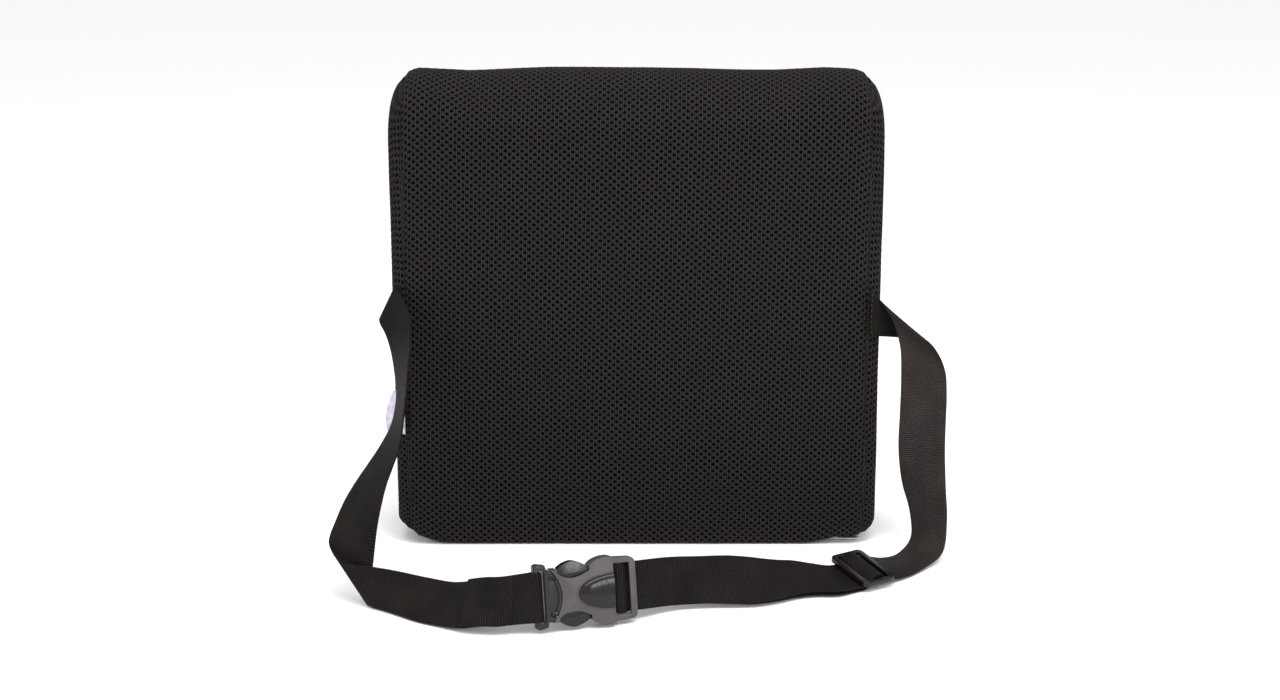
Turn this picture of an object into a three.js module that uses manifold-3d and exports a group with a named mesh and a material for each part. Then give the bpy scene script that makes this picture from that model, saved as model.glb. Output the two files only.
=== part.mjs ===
import * as THREE from 'three';
import { mergeVertices } from 'three/addons/utils/BufferGeometryUtils.js';
import Module from 'manifold-3d';

const wasm = await Module();
wasm.setup();

// ---- driving sizes, millimetres -------------------------------------------
const panelWidth = 326;        // cushion between its two side seams
const cushionHeight = 340;
const rearY = -48;             // flat rear face, the side the straps are on
const baseDepth = 94;          // rear face to the front of the base
const lumbarDepth = 106;       // rear face to the fullest point of the front
const lumbarHeight = 122;      // height of the fullest point
const topRoll = 29;            // radius over the top
const rearRoll = 3.6;          // radius under the rear face
const frontRoll = 15;          // radius under the front
const fabric = 3;              // thickness of the spacer mesh
const gussetBulge = 9;         // side pieces crown out this far
const cornerRadius = 20;       // top corners seen from the rear
const fit = 0.3;               // clearance between pieces that touch

const zipRise = 2.4;           // the base is recessed this far at the zipper
const zipGap = 11;             // opening between the two panel edges
const zipStart = -150;         // bottom stop
const zipEnd = 147;            // top stops
const coilWide = 1.6;
const coilThick = 1.3;
const coilGap = 1.4;           // room for the bridge of the slider
const tapeWide = 7.5;
const tapeThick = 0.6;
const tapeClear = 1.3;         // from the rear panel's inner face to the edge of the tape
// line of the zipper under the base
const zipY = rearY + fabric + tapeClear + tapeWide + coilGap / 2;
const sliderLong = 10;
const sliderWide = 9;
const sliderAt = 141;          // closed, against the top stops
const pullLong = 21;
const pullWide = 5.6;

const webWide = 32;            // strap webbing
const webThick = 1.4;
const rightSeamZ = 172;        // height of the middle of each strap at its seam
const leftSeamZ = 176;
const strapOut = 1.6;          // strap middle lies this far outside its seam

const buckleHeight = 44;       // female half at its widest
const buckleThick = 11;
const barThick = 5.6;
const buckleAt = [-66, -217, 23.2];
const buckleHeading = 18;      // degrees from +X
const buckleLean = 12;         // leans back from upright
const pinRadius = 1.6;         // root of each prong

const glideAt = [155, -125.5, 9.4];
const glideLong = 27;
const glideWide = 40;

const halfPanel = panelWidth / 2;
const sideX = halfPanel + fit;

// ---- helpers ----------------------------------------------------------------
const rad = THREE.MathUtils.degToRad;
const v3 = (x, y, z) => new THREE.Vector3(x, y, z);

function material(color, roughness, metalness = 0) {
  return new THREE.MeshStandardMaterial({ color, roughness, metalness });
}

const meshBlack = () => material(0x262324, 0.9);
const webbingBlack = () => material(0x2b2724, 0.85);
const plasticGrey = () => material(0x4a464c, 0.35);
const plasticBlack = () => material(0x161417, 0.3);

function node(name, geometry, mat) {
  const mesh = new THREE.Mesh(geometry, mat);
  mesh.name = name;
  return mesh;
}

// closed body from rings that all have the same number of points
function loft(rings) {
  const count = rings[0].length;
  const flat = [];
  const corners = [];
  for (const ring of rings) {
    for (const p of ring) flat.push(p.x, p.y, p.z);
  }
  for (let r = 0; r < rings.length - 1; r++) {
    for (let i = 0; i < count; i++) {
      const j = (i + 1) % count;
      const a = r * count + i;
      const b = r * count + j;
      const c = (r + 1) * count + j;
      const d = (r + 1) * count + i;
      corners.push(a, b, c, a, c, d);
    }
  }
  const cap = capTriangles(rings[0]);
  const last = (rings.length - 1) * count;
  for (const [a, b, c] of cap) {
    corners.push(a, c, b);
    corners.push(last + a, last + b, last + c);
  }
  const geometry = new THREE.BufferGeometry();
  geometry.setAttribute('position', new THREE.Float32BufferAttribute(flat, 3));
  geometry.setIndex(corners);
  if (signedVolume(geometry) < 0) flip(geometry);
  return crease(geometry);
}

// triangles across a flat ring, taken in the plane it faces most
function capTriangles(ring) {
  const normal = v3(0, 0, 0);
  for (let i = 0; i < ring.length; i++) {
    const next = ring[(i + 1) % ring.length];
    normal.add(v3(0, 0, 0).crossVectors(ring[i], next));
  }
  normal.normalize();
  const across = Math.abs(normal.z) < 0.9 ? v3(0, 0, 1) : v3(1, 0, 0);
  const u = v3(0, 0, 0).crossVectors(across, normal).normalize();
  const v = v3(0, 0, 0).crossVectors(normal, u);
  const flat = ring.map((p) => new THREE.Vector2(p.dot(u), p.dot(v)));
  return THREE.ShapeUtils.triangulateShape(flat, []);
}

function signedVolume(geometry) {
  const p = geometry.attributes.position;
  const index = geometry.index;
  let total = 0;
  for (let i = 0; i < index.count; i += 3) {
    const a = v3(0, 0, 0).fromBufferAttribute(p, index.getX(i));
    const b = v3(0, 0, 0).fromBufferAttribute(p, index.getX(i + 1));
    const c = v3(0, 0, 0).fromBufferAttribute(p, index.getX(i + 2));
    total += a.dot(b.cross(c));
  }
  return total;
}

function flip(geometry) {
  const index = geometry.index;
  for (let i = 0; i < index.count; i += 3) {
    const b = index.getX(i + 1);
    index.setX(i + 1, index.getX(i + 2));
    index.setX(i + 2, b);
  }
}

function crease(geometry) {
  const split = geometry.toNonIndexed();
  split.computeVertexNormals();
  return split;
}

function toSolid(geometry) {
  const bare = geometry.clone();
  bare.deleteAttribute('normal');
  bare.deleteAttribute('uv');
  const merged = mergeVertices(bare, 1e-4);
  return new wasm.Manifold(new wasm.Mesh({
    numProp: 3,
    vertProperties: new Float32Array(merged.attributes.position.array),
    triVerts: new Uint32Array(merged.index.array),
  }));
}

function fromSolid(solid) {
  const mesh = solid.getMesh();
  const geometry = new THREE.BufferGeometry();
  geometry.setAttribute('position', new THREE.Float32BufferAttribute(mesh.vertProperties, 3));
  geometry.setIndex(Array.from(mesh.triVerts));
  return crease(geometry);
}

function box(x0, x1, y0, y1, z0, z1) {
  const geometry = new THREE.BoxGeometry(x1 - x0, y1 - y0, z1 - z0);
  geometry.translate((x0 + x1) / 2, (y0 + y1) / 2, (z0 + z1) / 2);
  return geometry;
}

// round bar along local z
function disc(x, y, radius, z0, z1, sides = 32) {
  const geometry = new THREE.CylinderGeometry(radius, radius, z1 - z0, sides);
  geometry.rotateX(Math.PI / 2);
  geometry.translate(x, y, (z0 + z1) / 2);
  return geometry;
}

function distinct(points) {
  return points.filter((p, i) => p.distanceTo(points[(i + 1) % points.length]) > 0.01);
}

// outline in local x, y pulled from z0 to z1, edges broken by chamfer
function plate(shape, z0, z1, chamfer = 0) {
  const clean = new THREE.Shape(distinct(shape.getPoints(10)));
  clean.holes = shape.holes.map((hole) => new THREE.Path(distinct(hole.getPoints(10))));
  const geometry = new THREE.ExtrudeGeometry(clean, {
    depth: z1 - z0 - 2 * chamfer,
    bevelEnabled: chamfer > 0,
    bevelThickness: chamfer,
    bevelSize: chamfer,
    bevelOffset: -chamfer,
    bevelSegments: 2,
  });
  geometry.translate(0, 0, z0 + chamfer);
  return geometry;
}

// ---- side profile of the cushion, drawn in y, z ------------------------------
const topCentre = new THREE.Vector2(rearY + topRoll, cushionHeight - topRoll);
const seamAngle = rad(35);     // the top seam lies on the far side of the roll
const frontEdge = zipY + zipGap / 2;
const frontY = rearY + baseDepth;
const bellyY = rearY + lumbarDepth;

function rearPath() {
  const path = new THREE.Path();
  const rollY = rearY + rearRoll;
  const turned = Math.asin((rearRoll - zipRise) / rearRoll);
  path.moveTo(rollY + rearRoll * Math.cos(turned), zipRise);
  path.absarc(rollY, rearRoll, rearRoll, -turned, rad(-180), true);
  path.lineTo(rearY, topCentre.y);
  path.absarc(topCentre.x, topCentre.y, topRoll, rad(180), seamAngle, true);
  return path.getPoints(8);
}

function frontPath() {
  const path = new THREE.Path();
  const gap = 3 * fit / topRoll;
  const low = rad(12);
  const start = seamAngle - gap;
  path.moveTo(topCentre.x + topRoll * Math.cos(start), topCentre.y + topRoll * Math.sin(start));
  path.absarc(topCentre.x, topCentre.y, topRoll, start, low, true);
  const topFront = topCentre.x + topRoll * Math.cos(low);
  const topLow = topCentre.y + topRoll * Math.sin(low);
  const belly = (part, height) => new THREE.Vector2(
    topFront + (bellyY - topFront) * part,
    lumbarHeight + (topLow - lumbarHeight) * height,
  );
  path.splineThru([
    belly(0.17, 0.81),
    belly(0.44, 0.58),
    belly(0.73, 0.35),
    belly(0.93, 0.14),
    new THREE.Vector2(bellyY, lumbarHeight),
    new THREE.Vector2(bellyY - 1.5, lumbarHeight * 0.74),
    new THREE.Vector2(frontY + 5, lumbarHeight * 0.42),
    new THREE.Vector2(frontY, frontRoll),
  ]);
  path.absarc(frontY - frontRoll, frontRoll, frontRoll, 0, rad(-90), true);
  path.lineTo(frontEdge + 9, 0);
  path.bezierCurveTo(frontEdge + 5, 0, frontEdge + 4, zipRise, frontEdge, zipRise);
  return path.getPoints(8);
}

function dropRepeats(points) {
  return points.filter((p, i) => i === 0 || p.distanceTo(points[i - 1]) > 0.02);
}

// points moved sideways to the left of their direction of travel
function offset(points, distance) {
  return points.map((p, i) => {
    const before = points[Math.max(i - 1, 0)];
    const after = points[Math.min(i + 1, points.length - 1)];
    const along = after.clone().sub(before).normalize();
    return new THREE.Vector2(p.x + along.y * distance, p.y - along.x * distance);
  });
}

const rearOuter = dropRepeats(rearPath());
const frontOuter = dropRepeats(frontPath());

// the top corners are rounded, so the profile is a little lower near the sides
function dropAt(x) {
  const into = Math.max(0, Math.abs(x) - (sideX + gussetBulge - cornerRadius));
  return cornerRadius - Math.sqrt(Math.max(0, cornerRadius ** 2 - into ** 2));
}

function placeProfile(points, x) {
  const squeeze = (cushionHeight - dropAt(x)) / cushionHeight;
  return points.map((p) => v3(x, p.x, p.y * squeeze));
}

function acrossStations(half) {
  const round = [half - 14, half - 9, half - 4, half];
  return [...round.map((x) => -x).reverse(), ...round];
}

// ---- cover -------------------------------------------------------------------
function coverPanel(outer) {
  const inner = offset(outer, fabric);
  const strip = [...outer, ...inner.reverse()];
  return loft(acrossStations(halfPanel).map((x) => placeProfile(strip, x)));
}

function coverSide(side) {
  const outline = [...rearOuter, ...frontOuter];
  const middle = new THREE.Vector2(rearY + baseDepth / 2, cushionHeight / 2);
  const rings = [0, 15, 32, 48, 64, 78, 90].map((angle) => {
    const out = Math.sin(rad(angle));
    const shrink = 1 - 0.3 * (1 - Math.cos(rad(angle)));
    const ring = outline.map((p) => p.clone().sub(middle).multiplyScalar(shrink).add(middle));
    const squeeze = (cushionHeight - dropAt(sideX)) / cushionHeight;
    const x = side * (sideX + gussetBulge * out);
    return ring.map((p) => v3(x, p.x, p.y * squeeze));
  });
  return loft(rings);
}

// ---- foam ----------------------------------------------------------------------
function foamCore() {
  const under = fabric + fit;
  const grooveTop = zipRise + fabric + 2.6;
  const groove = tapeWide + 9;
  const rear = offset(rearOuter, under).filter((p) => p.y > 15);
  const front = offset(frontOuter, under).filter((p) => p.y > 15 || p.x > zipY + groove);
  const outline = [
    ...rear,
    ...front,
    new THREE.Vector2(zipY + groove, front[front.length - 1].y),
    new THREE.Vector2(zipY + groove, grooveTop),
    new THREE.Vector2(rearY + under, grooveTop),
  ];
  return loft(acrossStations(halfPanel - 0.2).map((x) => placeProfile(outline, x)));
}

// ---- zipper ----------------------------------------------------------------------
const tapeZ = zipRise + fabric + fit;
const coilZ = tapeZ - fit - coilThick;

function zipperTape(side) {
  const near = zipY + side * (coilGap / 2);
  const far = near + side * tapeWide;
  const low = Math.min(near, far);
  return box(zipStart - 8, zipEnd + 8, low, low + tapeWide, tapeZ, tapeZ + tapeThick);
}

function zipperCoil(side) {
  const near = zipY + side * (coilGap / 2);
  const low = Math.min(near, near + side * coilWide);
  return box(zipStart + fit, zipEnd - fit, low, low + coilWide, coilZ, coilZ + coilThick);
}

function topStop(side) {
  const near = zipY + side * (coilGap / 2);
  const low = Math.min(near, near + side * 2.4);
  return box(zipEnd, zipEnd + 2, low, low + 2.4, coilZ - 0.3, coilZ + coilThick);
}

function bottomStop() {
  return box(zipStart - 2, zipStart, zipY - 2.8, zipY + 2.8, coilZ - 0.3, coilZ + coilThick);
}

// two plates joined by a thin bridge, with an eye below for the pull
const lowTop = coilZ - fit;
const pullZ = 1.65;
const pullBar = 1;

function zipperSlider() {
  const half = sliderLong / 2;
  const wide = sliderWide / 2;
  const highLow = tapeZ + tapeThick + fit;
  const lower = toSolid(box(-half, half, -wide, wide, lowTop - 0.9, lowTop));
  const upper = toSolid(box(-half, half, -wide, wide, highLow, highLow + 0.9));
  const bridge = toSolid(box(half - 3.4, half, -0.4, 0.4, lowTop - 0.2, highLow + 0.2));
  const eye = toSolid(box(-1.7, 1.7, -0.9, 0.9, 0.35, lowTop - 0.7));
  const hole = toSolid(box(-0.95, 0.95, -2, 2, pullZ - 0.8, pullZ + 0.8));
  return fromSolid(lower.add(upper).add(bridge).add(eye.subtract(hole)));
}

// flat tab held by a cross bar that runs through the eye
function zipperPull() {
  const half = pullWide / 2;
  const tab = new THREE.Shape();
  tab.moveTo(-half, 0.5);
  tab.lineTo(-half, -pullLong + half);
  tab.absarc(0, -pullLong + half, half, rad(180), rad(360), false);
  tab.lineTo(half, 0.5);
  tab.closePath();
  const slot = new THREE.Path();
  slot.moveTo(-1.25, -0.5);
  slot.lineTo(1.25, -0.5);
  slot.lineTo(1.25, -3.4);
  slot.lineTo(-1.25, -3.4);
  slot.closePath();
  tab.holes.push(slot);
  return plate(tab, -pullBar / 2, pullBar / 2).rotateZ(rad(90));
}

// ---- webbing -----------------------------------------------------------------------
// a flat band between two edge curves
function webbing(edgeA, edgeB, perSpan) {
  const upper = new THREE.CatmullRomCurve3(edgeA, false, 'centripetal');
  const lower = new THREE.CatmullRomCurve3(edgeB, false, 'centripetal');
  const steps = (edgeA.length - 1) * perSpan;
  const middle = (t) => upper.getPoint(t).add(lower.getPoint(t)).multiplyScalar(0.5);
  const rings = [];
  for (let i = 0; i <= steps; i++) {
    const t = i / steps;
    const a = upper.getPoint(t);
    const b = lower.getPoint(t);
    const ahead = middle(Math.min(1, t + 0.3 / steps));
    const along = ahead.sub(middle(Math.max(0, t - 0.3 / steps))).normalize();
    const across = a.clone().sub(b).normalize();
    const face = along.cross(across).normalize().multiplyScalar(webThick / 2);
    rings.push([a.clone().add(face), b.clone().add(face), b.clone().sub(face), a.clone().sub(face)]);
  }
  return loft(rings);
}

// edge points of a strap that crosses a buckle part, given in that part's own axes
function crossing(frame, stations, flip = 1) {
  return stations.map(([along, out]) => {
    const half = flip * webWide / 2;
    const a = v3(along, half, out).applyMatrix4(frame);
    const b = v3(along, -half, out).applyMatrix4(frame);
    return [a, b];
  });
}

// a strap's points are laid out beside a cushion of this half width, and follow its sides
const routeHalf = 163;
const routeFar = -92;      // y past which a strap no longer follows the sides
const routeReach = 34;

function route(list) {
  const beside = ([x, y, z]) => {
    const share = Math.min(1, Math.max(0, (y - routeFar) / routeReach));
    return v3(x + Math.sign(x) * (halfPanel - routeHalf) * share, y, z);
  };
  return list.map(([a, b]) => [beside(a), beside(b)]);
}

const buckleFrame = new THREE.Matrix4().compose(
  v3(...buckleAt),
  new THREE.Quaternion().setFromEuler(
    new THREE.Euler(rad(90 - buckleLean), 0, rad(buckleHeading), 'ZYX'),
  ),
  v3(1, 1, 1),
);

// local x runs to the buckle, y to the lower edge of the strap, z to the front
const glideFrame = (() => {
  const along = v3(-0.82, -0.57, 0).normalize();
  const up = v3(-0.54, 0.8, 0.22);
  const out = up.clone().cross(along).normalize();
  const across = out.clone().cross(along).normalize();
  const basis = new THREE.Matrix4().makeBasis(along, across, along.clone().cross(across));
  return basis.setPosition(...glideAt);
})();

const leftRoute = route([
  [[-routeHalf - strapOut, -50.3, leftSeamZ + 16], [-routeHalf - strapOut, -50.3, leftSeamZ - 16]],
  [[-168, -50, 192], [-174, -49, 163]],
  [[-168.5, -52, 191.5], [-180, -52, 168]],
  [[-164, -57, 187], [-179.5, -55, 166]],
  [[-157, -70, 176], [-176, -57.5, 160]],
  [[-155, -84, 159], [-172.5, -59, 150]],
  [[-156, -95, 143], [-169, -66, 135]],
  [[-157, -104, 126], [-167, -75, 118]],
  [[-159, -110, 108], [-170, -82, 101]],
  [[-160.5, -119, 95], [-176.5, -93, 89]],
  [[-164, -128, 85], [-184, -105, 79]],
  [[-168, -139, 74], [-192, -119, 69]],
  [[-170.5, -150, 63], [-198, -134, 60]],
  [[-172.5, -160, 50], [-202, -148, 51]],
  [[-175, -166, 28], [-204, -158, 46]],
  [[-178, -167, 9], [-204.5, -163, 42]],
  [[-179, -172, 2], [-201, -169, 37]],
  [[-175, -177, 1.2], [-194, -171, 31]],
  [[-167, -183, 1.2], [-180, -167, 27]],
  [[-157, -191, 1.2], [-160, -166, 23]],
  [[-145, -201, 1.2], [-138, -175, 21.5]],
  [[-130, -210, 1.4], [-120, -186, 22.5]],
]);

// the last of the left strap lies double, sewn back from the buckle
const leftDoubleRoute = route([
  [[-114, -219, 3], [-107, -200, 28.5]],
  [[-100, -222.5, 5.4], [-94.5, -210.5, 34.6]],
  [[-88, -223.5, 6], [-86.5, -214.5, 36.7]],
]);

const rightRoute = route([
  [[routeHalf + strapOut, -50.3, rightSeamZ + 16], [routeHalf + strapOut, -50.3, rightSeamZ - 16]],
  [[168.5, -47.5, 184], [187, -44, 153]],
  [[172.5, -48.5, 178.5], [204, -48, 151.5]],
  [[179, -56, 168], [212, -55, 144]],
  [[184.5, -58, 151], [217, -58, 132]],
  [[186, -58, 128], [218.5, -59, 115]],
  [[186, -57, 102], [218.5, -59, 97]],
  [[186, -55, 75], [218.5, -60, 74]],
  [[190, -50, 48], [219, -66, 50]],
  [[196, -50, 27], [219.5, -74, 28]],
  [[196.2, -60.4, 10.4], [215.7, -85.7, 8]],
  [[185.5, -75, 3.2], [202, -102, 2.6]],
  [[172, -91.5, 5.6], [187.5, -119, 2]],
]);

// from the adjuster to the buckle the webbing lies double
const doubleRoute = route([
  [[118.5, -130.5, 15.6], [135.5, -157, 4.8]],
  [[107, -130, 17.4], [122.2, -157, 4.7]],
  [[95.7, -135.5, 19.8], [109.1, -161, 4.6]],
  [[84.8, -146, 24.6], [95.1, -169.5, 4.4]],
  [[73.4, -157.5, 30], [80.1, -175.5, 4]],
  [[60.4, -163.5, 33], [64.1, -176.5, 3.8]],
  [[42, -167, 33.8], [44, -177.5, 4]],
  [[22, -174.5, 35.6], [24, -182.5, 4.8]],
]);

const outerBar = [9.8, 13.5];    // adjuster, distance from its middle
const throughGlide = [
  [-outerBar[1] - 2.5, -2.4], [-outerBar[0] + 0.4, -2.4], [-6, 1.2], [-2.6, 4],
  [2.6, 4], [6.2, 1.5], [outerBar[0] - 0.4, -2.4], [outerBar[1] + 2.5, -2.4],
];
const backToGlide = [
  [outerBar[1] + 2.5, -4.8], [outerBar[0], -4.8], [5.6, -3.4], [1.6, -2.15],
  [-1.4, -2.15], [-3.6, -1], [-3.6, 1], [-1.4, 2.1], [1.9, 2.2], [4.6, 0.9], [6.4, -0.9],
];
const aroundFemaleBar = [
  [73, -1.7], [69, -1.9], [65, -1.9], [62, 0.2], [59.6, 2.3], [57, 2.5],
  [55.3, 2.1], [54.2, 0], [55.3, -2.3], [58, -3.2], [62, -4.4], [67, -4.9], [73, -4.8],
];

// along the bar's section, then its side and how far out of the bar's face the webbing runs
const aroundMaleBar = [
  [-8, 1, -1.2], [-3, 1, 0.2], [0.6, 1, 1.5], [2.8, 1, 1.4], [4.9, 1, -0.2], [5.4, 0, 0],
  [4.9, -1, -0.2], [2.8, -1, 1.4], [0.4, -1, 1.3], [-3, -1, -0.2], [-8, -1, -1.4],
].map(([along, side, clear]) => [along, side * (barThick / 2 + clear)]);

function strapLeft() {
  const pairs = [
    ...leftRoute,
    ...leftDoubleRoute,
    ...crossing(buckleFrame, aroundMaleBar, -1),
    ...behind(leftDoubleRoute, -3).reverse(),
  ];
  return webbing(pairs.map((p) => p[0]), pairs.map((p) => p[1]), 4);
}

function behind(pairs, distance) {
  return pairs.map(([a, b], i) => {
    const next = pairs[Math.min(i + 1, pairs.length - 1)];
    const last = pairs[Math.max(i - 1, 0)];
    const along = next[0].clone().add(next[1]).sub(last[0]).sub(last[1]).normalize();
    const face = along.cross(a.clone().sub(b)).normalize().multiplyScalar(distance);
    return [a.clone().add(face), b.clone().add(face)];
  });
}

function strapRight() {
  const pairs = [
    ...rightRoute,
    ...crossing(glideFrame, throughGlide, -1),
    ...doubleRoute,
    ...crossing(buckleFrame, aroundFemaleBar),
    ...behind(doubleRoute, 3).reverse(),
    ...crossing(glideFrame, backToGlide, -1),
  ];
  return webbing(pairs.map((p) => p[0]), pairs.map((p) => p[1]), 3);
}

// ---- care label -----------------------------------------------------------------------
// a loop of tape with both ends in the left seam
function careLabel() {
  const inX = -halfPanel - 1.2;
  const y = rearY - 1.6;
  const fold = [
    [inX, 0], [inX - 8, 0.15], [inX - 10.8, 0.1], [inX - 11.5, -0.45],
    [inX - 10.8, -1], [inX - 8, -1.05], [inX, -0.9],
  ];
  const rings = [];
  const thick = 0.15;
  const height = 31;
  const outer = fold.map(([x, d]) => [x, d]);
  outer.forEach(([x, d], i) => {
    const before = outer[Math.max(i - 1, 0)];
    const after = outer[Math.min(i + 1, outer.length - 1)];
    const length = Math.hypot(after[0] - before[0], after[1] - before[1]);
    const nx = (after[1] - before[1]) / length * thick;
    const ny = -(after[0] - before[0]) / length * thick;
    const slant = (inX - x) * 0.12;
    rings.push([
      v3(x + nx, y + d + ny, 85 - slant),
      v3(x + nx, y + d + ny, 85 + height - slant),
      v3(x - nx, y + d - ny, 85 + height - slant),
      v3(x - nx, y + d - ny, 85 - slant),
    ]);
  });
  return loft(rings);
}

// ---- buckle ------------------------------------------------------------------------------
// local x runs from the male half to the female half, y up, z to the front
const halfBuckle = buckleHeight / 2;
const mouthRadius = 24.1;
const mouthCentre = -6.1;
const pocketHalf = 15.2;
const pocketDeep = 3.6;
const prongDeep = pocketDeep - 0.4;

function femaleBody() {
  const outline = new THREE.Shape();
  outline.moveTo(9, -17);
  outline.lineTo(15.4, -17);
  outline.lineTo(15.4, -14.6);
  outline.splineThru([
    new THREE.Vector2(19, -12),
    new THREE.Vector2(25, -10.8),
    new THREE.Vector2(31, -11.8),
    new THREE.Vector2(37, -14.6),
  ]);
  outline.lineTo(37, -17.4);
  outline.quadraticCurveTo(40, -20.8, 47, -halfBuckle);
  outline.lineTo(51, -halfBuckle);
  outline.lineTo(53, -halfBuckle + 0.5);
  outline.lineTo(53, halfBuckle - 0.5);
  outline.lineTo(51, halfBuckle);
  outline.lineTo(47, halfBuckle);
  outline.quadraticCurveTo(40, 20.8, 37, 17.4);
  outline.lineTo(37, 14.6);
  outline.splineThru([
    new THREE.Vector2(31, 11.8),
    new THREE.Vector2(25, 10.8),
    new THREE.Vector2(19, 12),
    new THREE.Vector2(15.4, 14.6),
  ]);
  outline.lineTo(15.4, 17);
  outline.lineTo(9, 17);
  outline.closePath();
  const rails = new THREE.Shape();
  rails.moveTo(49, -halfBuckle + 0.6);
  rails.lineTo(65.5, -20.2);
  rails.quadraticCurveTo(68.7, -19.2, 68.7, -15);
  rails.lineTo(68.7, 15);
  rails.quadraticCurveTo(68.7, 19.2, 65.5, 20.2);
  rails.lineTo(49, halfBuckle - 0.6);
  rails.closePath();
  const dome = new THREE.Shape();
  dome.moveTo(52, -10.4);
  dome.bezierCurveTo(40, -10, 29.5, -5.5, 29.5, 0);
  dome.bezierCurveTo(29.5, 5.5, 40, 10, 52, 10.4);
  dome.closePath();
  const half = buckleThick / 2;
  let solid = toSolid(plate(outline, -half, half));
  solid = solid.subtract(toSolid(disc(mouthCentre, 0, mouthRadius, -8, 8, 96)));
  solid = solid.add(toSolid(plate(rails, -barThick / 2, barThick / 2)));
  solid = solid.add(toSolid(plate(dome, half - 1, half + 1.1)));
  const pocket = box(0, 47, -pocketHalf, pocketHalf, -pocketDeep, pocketDeep);
  solid = solid.subtract(toSolid(pocket));
  solid = solid.subtract(toSolid(box(53, 64.6, -16.8, 16.8, -8, 8)));
  solid = solid.subtract(toSolid(box(64, 70, -16.8, 16.8, -8, -0.8)));
  const bar = box(56.1, 58.9, -17.6, 17.6, -1.3, 1.3);
  return fromSolid(solid.add(toSolid(bar)));
}

function maleFrame() {
  const half = barThick / 2;
  const lugs = new THREE.Shape();
  lugs.moveTo(0.2, -19);
  lugs.quadraticCurveTo(0.4, -21.2, 3, -21.2);
  lugs.lineTo(8, -20.2);
  lugs.lineTo(8.6, -18);
  lugs.lineTo(8.6, 18);
  lugs.lineTo(8, 20.2);
  lugs.lineTo(3, 21.2);
  lugs.quadraticCurveTo(0.4, 21.2, 0.2, 19);
  lugs.closePath();
  let solid = toSolid(plate(lugs, -half, half));
  const nose = toSolid(disc(mouthCentre, 0, mouthRadius - 0.6, -5.1, 5.1, 96));
  solid = solid.add(nose.intersect(toSolid(box(6.8, 30, -16.5, 16.5, -5.1, 5.1))));
  solid = solid.subtract(toSolid(box(3.4, 6.8, -16.8, 16.8, -8, 8)));
  const scoop = toSolid(disc(mouthCentre + 1, 0, mouthRadius - 3, 3.4, 8, 96));
  const scoopBox = toSolid(box(8.4, 30, -13, 13, 3.4, 8));
  solid = solid.subtract(scoop.intersect(scoopBox));
  solid = solid.add(toSolid(box(15, 31, -3, 3, -prongDeep, prongDeep)));
  for (const side of [-1, 1]) {
    solid = solid.subtract(toSolid(disc(12, side * 12, pinRadius + 0.35, -8, 8)));
    const mouth = box(12, 22, side * 12 - 1.75, side * 12 + 1.75, -8, 8);
    solid = solid.subtract(toSolid(mouth));
  }
  return fromSolid(solid);
}

// spring arm with the finger pad that fills the notch in the female half
function prong() {
  const arm = new THREE.Shape();
  arm.moveTo(12, 10.8);
  arm.lineTo(24, 9.2);
  arm.lineTo(38, 9.6);
  arm.lineTo(44, 11);
  arm.lineTo(44.4, 12.4);
  arm.lineTo(37.6, 14.8);
  arm.lineTo(36.5, 14.8);
  arm.lineTo(36.3, 17.2);
  arm.quadraticCurveTo(31, 20.6, 26, 21.4);
  arm.quadraticCurveTo(20, 20.8, 16.1, 17.2);
  arm.lineTo(16.1, 13.2);
  arm.lineTo(12, 13.2);
  arm.closePath();
  const solid = toSolid(plate(arm, -prongDeep, prongDeep));
  const root = toSolid(disc(12, 12, pinRadius, -prongDeep, prongDeep));
  return solid.add(root);
}

// ---- adjuster ------------------------------------------------------------------------------
function triglide() {
  const long = glideLong / 2;
  const wide = glideWide / 2;
  const round = 4;
  const outline = new THREE.Shape();
  outline.moveTo(-long + round, -wide);
  outline.absarc(long - round, -wide + round, round, rad(-90), 0, false);
  outline.absarc(long - round, wide - round, round, 0, rad(90), false);
  outline.absarc(-long + round, wide - round, round, rad(90), rad(180), false);
  outline.absarc(-long + round, -wide + round, round, rad(180), rad(270), false);
  let solid = toSolid(plate(outline, -0.9, 2.6));
  for (const side of [-1, 1]) {
    const near = side > 0 ? 2.2 : -outerBar[0];
    solid = solid.subtract(toSolid(box(near, near + outerBar[0] - 2.2, -17, 17, -4, 6)));
  }
  const overMiddle = box(-2.3, 2.3, -17, 17, 0.9, 6);
  return fromSolid(solid.subtract(toSolid(overMiddle)));
}

// ---- assembly ------------------------------------------------------------------------------
const group = new THREE.Group();
group.name = 'lumbar_cushion';

group.add(node('foam_core', foamCore(), material(0xd8c98a, 0.95)));
group.add(node('cover_rear_panel', coverPanel(rearOuter), meshBlack()));
group.add(node('cover_front_panel', coverPanel(frontOuter), meshBlack()));
group.add(node('cover_side_left', coverSide(-1), meshBlack()));
group.add(node('cover_side_right', coverSide(1), meshBlack()));
group.add(node('zipper_tape_rear', zipperTape(-1), material(0x1b1a1b, 0.9)));
group.add(node('zipper_tape_front', zipperTape(1), material(0x1b1a1b, 0.9)));
group.add(node('zipper_coil_rear', zipperCoil(-1), material(0x202022, 0.5)));
group.add(node('zipper_coil_front', zipperCoil(1), material(0x202022, 0.5)));
group.add(node('zipper_top_stop_rear', topStop(-1), material(0x9a9a98, 0.35, 1)));
group.add(node('zipper_top_stop_front', topStop(1), material(0x9a9a98, 0.35, 1)));
group.add(node('zipper_bottom_stop', bottomStop(), material(0x9a9a98, 0.35, 1)));

const slider = node('zipper_slider', zipperSlider(), material(0xa8a8a4, 0.3, 1));
slider.position.set(sliderAt, zipY, 0);
group.add(slider);
const pull = node('zipper_pull', zipperPull(), material(0xa8a8a4, 0.3, 1));
pull.position.set(sliderAt, zipY, pullZ);
group.add(pull);

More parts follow.
